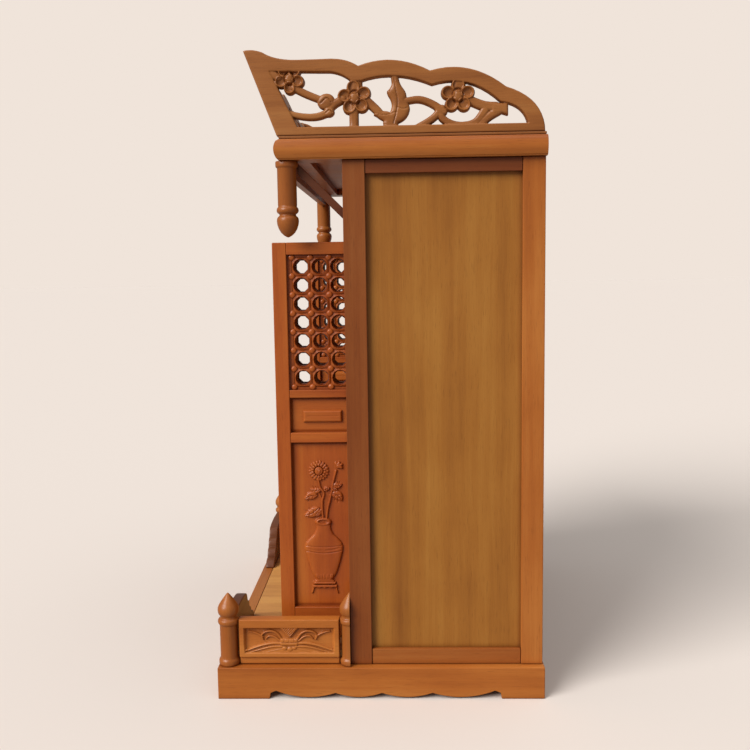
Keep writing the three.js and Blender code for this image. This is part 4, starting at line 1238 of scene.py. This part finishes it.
def crest_side_carving():
    top, foot = CREST_HIGH[2], CREST_LOW[2]
    low = (CREST_LOW[1] - MARGIN, foot - MARGIN)
    c = Carving(low, (CREST_HIGH[1] + MARGIN, top + MARGIN), SKIN_STEP, -30)
    outline = path((front_edge(foot), foot), (173.5, foot), ((172.5, 628), (134, 640)), ((98, 668),
                   (58, 657)),
                   ((22, 676), (-14, 663)), ((-26, 671), (-44, 670.5)), (-74, 670), ((-98, 670),
                   (-110, 678)),
                   ((-121, 682), (front_edge(top), top - 0.5)))
    opening = path((-76, CREST_RAIL), (-103, 659), (-42, 657.5), ((-30, 656), (-21, 648)), (-11, 648),
                   ((22, 659), (60, 643)), ((98, 654), (129, 625)), ((152, 622), (156, CREST_RAIL)))
    board = np.minimum(c.outline(outline), -c.outline(opening))
    c.raised(board, 0, -1.0, 1.6, pierced=True)

    def branch(points, widths, height=-1.3):
        inside = c.stroke(points, widths)
        c.raised(inside, height, height - 2.6, np.min(widths) * 0.42, pierced=True)
        return inside

    branch([(-79, 643), (-66, 636.5), (-50, 630)], (7.5, 7))
    branch([(-43, 619), (-56, 614.6), (-70, 614.6), (-86, 618)], (7.5, 6))
    branch([(-45, 621), (-38, 627), (-30, 631)], 8)
    branch([(-16, 640), (-16, 654)], 12)
    branch([(-19, 625), (-19, 600)], 9.5)
    branch([(-7, 630), (3, 621), (10, 614), (22, 610)], (9, 8))
    branch([(33, 628), (47, 629.5), (60, 625), (72, 617)], (6.5, 7.5))
    branch([(70, 620), (60, 610), (43, 600.5)], (7.5, 7))
    branch([(87, 640), (88, 653)], 13)
    branch([(65, 622), (70, 611), (80, 604.5), (92, 602.8), (104, 606), (113, 617)], (7, 8.5))
    branch([(97, 628), (112, 622), (124, 620.6)], (9, 10))
    branch([(127, 617), (117, 611), (105, 600.5)], (9, 8))
    fork = c.outline([(118, 624), (136.5, 624.5), (136.5, 612), (130, 614), (120, 612.5)])
    c.raised(fork, -1.0, -3.4, 3.2, pierced=True)

    leaf = path((12.5, 601), ((9, 607), (11, 608.5)), ((6, 612.5), (0.5, 615)), ((8, 621), (17.5, 617.5)),
                ((21, 624), (17.5, 631)), ((14.5, 635), (14.5, 638)), ((18, 640), (19.5, 645)), (18.5, 654),
                (26.5, 654), ((26.5, 646), (31.5, 640)), ((36, 634), (33.5, 629)), ((37.5, 625),
                (37.8, 620)),
                ((36, 610), (26, 606.5)), (25, 601))
    inside = c.outline(leaf)
    c.raised(inside, -0.8, -3.6, 5.0, pierced=True)
    c.groove([(21, 606), (24, 617), (25.5, 628), (23.5, 640), (22, 650)], 2.0, 0.9, inside)
    c.groove([(23.5, 617), (14, 614.5), (6, 615)], 1.6, 0.7, inside)
    c.groove([(24.5, 622), (31, 620), (35, 621)], 1.6, 0.7, inside)
    c.groove([(25, 632), (20, 636), (17, 638.5)], 1.6, 0.7, inside)

    for centre, radius in (((-47, 629), 9.0), ((-44, 618.5), 5.4)):
        bud = c.oval(centre, (radius, radius * 0.86), 0.3)
        c.raised(bud, -0.4, -3.4, radius * 0.6, pierced=True)
        bends = ((-0.6, -0.2), (0.1, 0.35), (0.6, -0.1))
        cleft = [(centre[0] + radius * u, centre[1] + radius * v) for u, v in bends]
        c.groove(cleft, 2.2, 1.2, bud)
    flowers = (((-18, 632), 17.5, 0.42), ((86, 632), 17.5, 0.30), ((-83.5, 652), 15.5, 0.95))
    for centre, radius, turn in flowers:
        c.blossom(centre, radius, -4.4, 0, 5, turn, pierced=True)
    corner = c.oval((-99, 655.5), (8.5, 4.5), -0.5)
    c.raised(corner, -0.6, -3.6, 3.0, pierced=True)
    return c


def crest_face(depth, y, z):
    return np.stack([CREST_HIGH[0] + depth, y, z], -1)


THICK = CREST_HIGH[0] - CREST_LOW[0]
crest = pierced_board("crest_side", crest_side_carving(), THICK, crest_face, 100000)
dress_pair(crest, "crest_side", "carved_wood", "Y")

# %% Front crest
def crest_front_carving():
    """The front crest, drawn upright: a bloom in the middle and two smaller ones each way."""
    end, top, foot = node_box("crest_front")[1][0], CREST_HIGH[2], CREST_LOW[2]
    c = Carving((-end - MARGIN, foot - MARGIN), (end + MARGIN, top + MARGIN), SKIN_STEP, -30)
    cusps = [(186, 668), (112, 661), (42, 665)]
    half = path((end, top - 1.5), ((205, 682), cusps[0]), ((150, 674), cusps[1]), ((78, 680), cusps[2]),
                ((21, 679.5), (0, 679.5)))
    inner = path((end - 20, CREST_RAIL), (end - 20, 656), ((150, 660), (112, 647)), ((78, 664), (42, 651)),
                 ((21, 663.5), (0, 663.5)))

    def both(line):
        return line + [(-x, z) for x, z in reversed(line[:-1])]

    board = np.minimum(c.outline([(-end, foot), (end, foot)] + both(half)), -c.outline(both(inner)))
    c.raised(board, 0, -1.0, 1.6, pierced=True)

    def branch(points, widths):
        for side in (-1, 1):
            inside = c.stroke([(side * x, z) for x, z in points], widths)
            c.raised(inside, -1.3, -3.8, np.min(widths) * 0.42, pierced=True)

    for points, widths in (
            ([(0, 644), (0, 668)], 12), ([(0, 624), (0, 600)], 9.5),
            ([(12, 628), (24, 619), (38, 617), (64, 627)], 7),
            ([(40, 618), (47, 610), (53, 600)], (7, 8)), ([(39, 618), (34, 634), (40, 656)], (7, 8.5)),
            ([(84, 637), (98, 629), (112, 625), (146, 630)], 7),
            ([(112, 625), (110, 636), (112, 652)], (7, 9)),
            ([(112, 625), (106, 614), (98, 600)], (7, 9)), ([(153, 621), (146, 612), (134, 600)], (7, 8)),
            ([(168, 634), (186, 627), (206, 627)], (7, 8)), ([(160, 642), (163, 660)], 9),
            ([(182, 628), (178, 614), (184, 600)], (7, 8))):
        branch(points, widths)
    for side in (-1, 1):
        for base, tip, width, bend in (
                ((98, 628), (84, 612), 11, 0.12), ((36, 632), (22, 642), 10, 0.1), ((124, 628),
                (136, 642), 11, -0.1),
                ((188, 628), (196, 642), 10, 0.1)):
            (base, tip) = ((side * base[0], base[1]), (side * tip[0], tip[1]))
            c.add_leaf(base, tip, width, -0.8, bend * side, -3.4, pierced=True)
        for x, radius in ((74, 16.5), (158, 16.5)):
            c.blossom((side * x, 633), radius, -4.4, 0, 5, 0.5 + side * 0.3, pierced=True)
    c.blossom((0, 634), 20, -4.6, 0, 6, 0.5, pierced=True)
    return c


def leaning_face(depth, x, z):
    """The face of the front crest leans out with the front edges of the side crests."""
    return np.stack([x, front_edge(z) - depth, z], -1)


front_crest = pierced_board("crest_front_wood", crest_front_carving(), 12.6, leaning_face, 130000)
dress(front_crest, ["crest_front"], "carved_wood", "X")

# %% [markdown]
# ## The forecourt rails
#
# A low rail closes each side of the forecourt. Its field is sunk, with a hatched pendant under the top
# edge, a tied knot below it, two scrolls, and swags that run down to the corners. The front is only guarded
# at its ends, by a board that steps down in lobes from each newel.

# %% Side rails
RAIL_LOW, RAIL_HIGH = node_box("side_rail_right")


def side_rail_relief():
    c = Carving(RAIL_LOW[1:], RAIL_HIGH[1:], FINE_STEP, -30)
    middle = (RAIL_LOW[1] + RAIL_HIGH[1]) / 2
    u = c.U - middle
    reach = (RAIL_HIGH[1] - RAIL_LOW[1]) / 2
    field = np.minimum(reach - 5 - np.abs(u), np.minimum(c.V - 47.5, 77 - c.V))
    bowl = -3.9 + 1.9 * np.exp(-(u / 30) ** 2) * np.clip((80 - c.V) / 22, 0, 1)
    slope = -1.3 * np.clip(field, 0, 3)
    sunk = np.where(field > 0, np.maximum(bowl, slope * 1.2), 0)
    lower = np.exp(-((c.V - 47.5) / 5.5) ** 2) * 1.2
    ground = np.where(field > 0, np.minimum(sunk + lower, 0), 0)
    plinth = np.clip((c.V - 43.2) / 1.0, 0, 1)
    ground = np.where(c.V < 46, -2.8 * (1 - plinth), ground)
    rim = np.minimum(np.minimum(reach - np.abs(u), RAIL_HIGH[2] - c.V), c.V - RAIL_LOW[2])
    c.height = ground - 1.2 * (1 - np.sqrt(1 - (1 - np.clip(rim / 1.2, 0, 1)) ** 2))

    def at(*points):
        return [(middle + y, z) for y, z in points]

    for side in (-1, 1):
        for points, widths, height in (
                ([(5, 58.5), (18, 59.2), (33, 56.0), (50.5, 49.4)], (4.2, 1.6), -0.7),
                ([(7, 55.5), (20, 55.0), (34, 51.6), (46, 48.4)], (3.6, 1.4), -1.0),
                ([(4, 53.0), (14, 51.6), (26, 49.0)], (3.0, 1.2), -1.3),
                ([(9, 64.5), (13, 70.0), (19, 72.8), (26, 71.8), (30, 67.8),
                (28.5, 63.5)], (3.0, 1.8), -1.0),
                ([(10, 61.8), (16, 66.4), (22, 67.2), (25.5, 64.2)], (2.6, 1.6), -1.2),
                ([(29, 66.5), (36, 70.5), (44, 72.6)], (2.6, 1.2), -1.6)):
            points = [(side * y, z) for y, z in points]
            c.raised(c.stroke(at(*points), widths), height, -2.9, max(widths) * 0.45)
        tip = at((side * 50, 49.8), (side * 45.5, 52.4))
        c.raised(c.stroke(tip, (2.4, 1.4)), -0.9, -2.9, 1.0)
    drop = c.outline(at((-11, 78), (-7, 73.5), (-1.4, 66.4), (1.4, 66.4), (7, 73.5), (11, 78)))
    c.raised(drop, -0.2, -2.0, 1.2)
    for turn in (-1, 1):
        for shift in np.arange(-12, 13, 2.6):
            c.groove(at((shift - turn * 7, 64), (shift + turn * 7, 79)), 1.1, 0.5, drop - 0.8)
    knot = c.outline(at((-10, 58.4), (-8.4, 56.4), (8.4, 56.4), (10, 58.4), (9.4, 64.6), (-9.4, 64.6)))
    c.raised(knot, 0.0, -1.6, 2.4)
    c.groove(at((-8.5, 60.6), (0, 60.0), (8.5, 60.6)), 1.3, 0.7, knot)
    for y in (-5.4, 0, 5.4):
        c.groove(at((y, 61.4), (y + 0.4, 64.4)), 1.1, 0.6, knot)
    for y, z, r in ((-5.0, 53.6, 3.2), (0.6, 52.4, 3.4), (5.4, 54.0, 2.8)):
        c.raised(c.oval((middle + y, z), (r, r * 0.8)), -0.4, -2.2, r * 0.6)
    return c


def rail_face(y, z, h):
    return np.stack([RAIL_HIGH[0] + h, y, z], -1)


rail = face_mesh("side_rail", side_rail_relief(), rail_face, RAIL_HIGH[0] - RAIL_LOW[0])
rail = thinned(rail, 44000)
dress_pair(rail, "side_rail", "frame_wood", "Y")

# %% Stepped wings
WING_STEPS = [(141, 82), (129, 69), (118, 57), (106, 46), (88, 36.5)]


def wing_carving(low, high):
    """A board that steps down in lobes, each with a scroll cut into it."""
    c = Carving((low[0] - MARGIN, low[2] - MARGIN),
    (high[0] + MARGIN, high[2] + 3 * MARGIN), SKIN_STEP, -30)
    outline = path((high[0], low[2]), (high[0], 83), ((168, 87), WING_STEPS[0]))
    for (x, z), (to_x, to_z) in zip(WING_STEPS, WING_STEPS[1:]):
        outline += bowed((x, z), ((x + to_x) / 2 - 4, (z + to_z) / 2 + 5), (to_x, to_z))
    outline.append([WING_STEPS[-1][0], low[2]])
    board = c.outline(outline)
    c.raised(board, 0, -1.0, 1.6, pierced=True)
    inset = np.clip((board - 4.5) / 1.5, 0, 1)
    c.height -= 1.8 * inset
    for points, widths in (
            ([(210, 42), (190, 50), (170, 47), (146, 52)], (4, 3)),
            ([(190, 50), (182, 62), (170, 68), (162, 62)], (4, 2.5)),
            ([(172, 48), (160, 58), (150, 66), (146, 60)], (4, 2.5)),
            ([(150, 51), (138, 58), (130, 54)], (3.5, 2)),
            ([(208, 46), (204, 60), (194, 72), (186, 74)], (4, 2.5))):
        inside = np.minimum(c.stroke(points, widths), board - 4)
        c.raised(inside, 0.0, -1.8, 1.6)
    return c


def wing_face(depth, x, z):
    return np.stack([x, WING_LOW[1] - depth, z], -1)


WING_LOW, WING_HIGH = node_box("wing_right")
wing = pierced_board("wing", wing_carving(WING_LOW, WING_HIGH), WING_HIGH[1] - WING_LOW[1], wing_face, 16000)
dress_pair(wing, "wing", "carved_wood", "X", 0.9)

# %% [markdown]
# ## The transom
#
# Over the doors a header fills the space up to the roof. Little of it shows from the side, so its carving
# is plainer: three sunk fields, with one open flower and a spray of leaves in each.

# %% Transom
TRANSOM_LOW, TRANSOM_HIGH = node_box("transom")
TRANSOM_BORDER = 12


def transom_relief():
    c = Carving((TRANSOM_LOW[0], TRANSOM_LOW[2]), (TRANSOM_HIGH[0], TRANSOM_HIGH[2]), FINE_STEP * 1.5, 0)
    span = TRANSOM_HIGH[0] - TRANSOM_LOW[0] - TRANSOM_BORDER
    low, high = TRANSOM_LOW[2] + TRANSOM_BORDER, TRANSOM_HIGH[2] - TRANSOM_BORDER
    rim = np.minimum(TRANSOM_HIGH[0] - np.abs(c.U), np.minimum(c.V - TRANSOM_LOW[2], TRANSOM_HIGH[2] - c.V))
    c.height -= 1.0 * (1 - np.sqrt(1 - (1 - np.clip(rim, 0, 1)) ** 2))
    middle_z = (low + high) / 2
    centres = [TRANSOM_LOW[0] + TRANSOM_BORDER + (i + 0.5) * span / 3 - TRANSOM_BORDER / 2 for i in range(3)]
    for x in centres:
        field = np.minimum(span / 6 - TRANSOM_BORDER / 2 - np.abs(c.U - x), np.minimum(c.V - low, high - c.V))
        c.height -= 5 * np.clip(field / 1.8, 0, 1)
    for x in centres:
        for side in (-1, 1):
            stem = [(x + side * 8, middle_z), (x + side * 26, middle_z + 6), (x + side * 42, middle_z - 4),
                    (x + side * 52, middle_z + 8)]
            c.raised(c.stroke(stem, (3.4, 2.0)), -1.6, -4.6, 1.6)
            for base, tip, width in (((24, 5), (34, 20), 11), ((30, 4), (22, -14), 11), ((42, -4),
                                     (54, -14), 10),
                                     ((46, 0), (52, 14), 9)):
                (u0, v0), (u1, v1) = base, tip
                root, end = (x + side * u0, middle_z + v0), (x + side * u1, middle_z + v1)
                c.add_leaf(root, end, width, -0.9, 0.1 * side, -4.4)
        c.blossom((x, middle_z), 21, -4.4, -0.3, 5, math.pi / 2)
    return c


def transom_face(x, z, h):
    return np.stack([x, TRANSOM_LOW[1] - h, z], -1)


transom = face_mesh("transom_wood", transom_relief(), transom_face, TRANSOM_HIGH[1] - TRANSOM_LOW[1])
dress(thinned(transom, 60000), ["transom"], "carved_wood", "X", 0.2)

# %% [markdown]
# ## Hinges
#
# Each leaf hangs on two small brass hinges. Only the turned pin shows, at the corner of the leaf: three
# knuckles with a round button at each end. Geometry Nodes sets them along the pin, so one tree makes all
# eight.

# %% Brass
def brass():
    material = bpy.data.materials.new("brass")
    material.use_nodes = True
    tree = material.node_tree
    shader = tree.nodes["Principled BSDF"]
    place = add(tree, "ShaderNodeTexCoord").outputs["Object"]
    dull = add(tree, "ShaderNodeTexNoise", {"Vector": place, "Scale": 180.0, "Detail": 3.0}).outputs["Fac"]
    colour = tone(tree, dull, (0.62, 0.40, 0.13), (0.40, 0.25, 0.09))
    tree.links.new(colour, shader.inputs["Base Color"])
    tree.links.new(remapped(tree, dull, 0.3, 0.7, 0.28, 0.5), shader.inputs["Roughness"])
    shader.inputs["Metallic"].default_value = 1.0
    return material


FINISHES["brass"] = brass()


def hinge_tree():
    """Knuckles up a pin, with a button at each end."""
    tree = bpy.data.node_groups.new("hinge", "GeometryNodeTree")
    socket(tree, "Geometry", "NodeSocketGeometry", in_out="OUTPUT")
    socket(tree, "Geometry", "NodeSocketGeometry")
    for name, kind, value in (
            ("Foot", "NodeSocketVector", None), ("Height", "NodeSocketFloat", 0.034),
            ("Knuckles", "NodeSocketInt", 3),
            ("Radius", "NodeSocketFloat", 0.002), ("Metal", "NodeSocketMaterial", None)):
        socket(tree, name, kind, value)
    given = add(tree, "NodeGroupInput").outputs
    share = add(tree, "ShaderNodeMath", {0: given["Height"], 1: given["Knuckles"]},
                operation="DIVIDE").outputs[0]
    half = add(tree, "ShaderNodeMath", {0: share, 1: 0.5}, operation="MULTIPLY").outputs[0]
    first = add(tree, "ShaderNodeVectorMath", {
        0: given["Foot"], 1: add(tree, "ShaderNodeCombineXYZ", {2: half}).outputs[0]}).outputs[0]
    line = add(tree, "GeometryNodeMeshLine", {
        "Count": given["Knuckles"], "Start Location": first,
        "Offset": add(tree, "ShaderNodeCombineXYZ", {2: share}).outputs[0]})
    length = add(tree, "ShaderNodeMath", {0: share, 1: 0.94}, operation="MULTIPLY").outputs[0]
    barrel = add(tree, "GeometryNodeMeshCylinder", {
        "Vertices": 20, "Radius": given["Radius"], "Depth": length})
    knuckles = add(tree, "GeometryNodeInstanceOnPoints", {
        "Points": line.outputs[0], "Instance": barrel.outputs["Mesh"]}).outputs[0]
    ends = add(tree, "GeometryNodeMeshLine", {
        "Count": 2, "Start Location": given["Foot"],
        "Offset": add(tree, "ShaderNodeCombineXYZ", {2: given["Height"]}).outputs[0]})
    ball = add(tree, "GeometryNodeMeshUVSphere", {"Segments": 16, "Rings": 10, "Radius": given["Radius"]})
    buttons = add(tree, "GeometryNodeInstanceOnPoints", {
        "Points": ends.outputs[0], "Instance": ball.outputs["Mesh"], "Scale": (0.92, 0.92, 0.9)}).outputs[0]
    both = add(tree, "GeometryNodeJoinGeometry")
    for part in (given["Geometry"], knuckles, buttons):
        tree.links.new(part, both.inputs[0])
    real = add(tree, "GeometryNodeRealizeInstances", {"Geometry": both.outputs[0]})
    metal = add(tree, "GeometryNodeSetMaterial", {"Geometry": real.outputs[0], "Material": given["Metal"]})
    add(tree, "NodeGroupOutput", {0: metal.outputs[0]})
    return tree


HINGE_TIP = 2
hinges = hinge_tree()
for kind in ("post", "fold"):
    for side in SIDES:
        for height in ("lower", "upper"):
            node = f"{kind}_hinge_{side}_{height}"
            low, high = node_box(node)
            centre = (low + high) / 2
            pin = from_points(f"{node}_metal", np.empty((0, 3)), [])
            grown(pin, hinges, Foot=(centre[0] * MM, centre[1] * MM, (low[2] + HINGE_TIP) * MM),
                  Height=(high[2] - low[2] - 2 * HINGE_TIP) * MM, Radius=(high[0] - low[0]) / 2 * MM,
                  Metal=FINISHES["brass"])
            shade(pin.data)
            dress(pin, [node], "brass")
print("hinges: 8")

# %% [markdown]
# ## The end
#
# The last cell counts the pieces and their triangles.

# %% Finish
triangles = sum(len(face.vertices) - 2 for piece in pieces for face in piece.data.polygons)
print("pieces:", len(pieces), "triangles:", triangles)
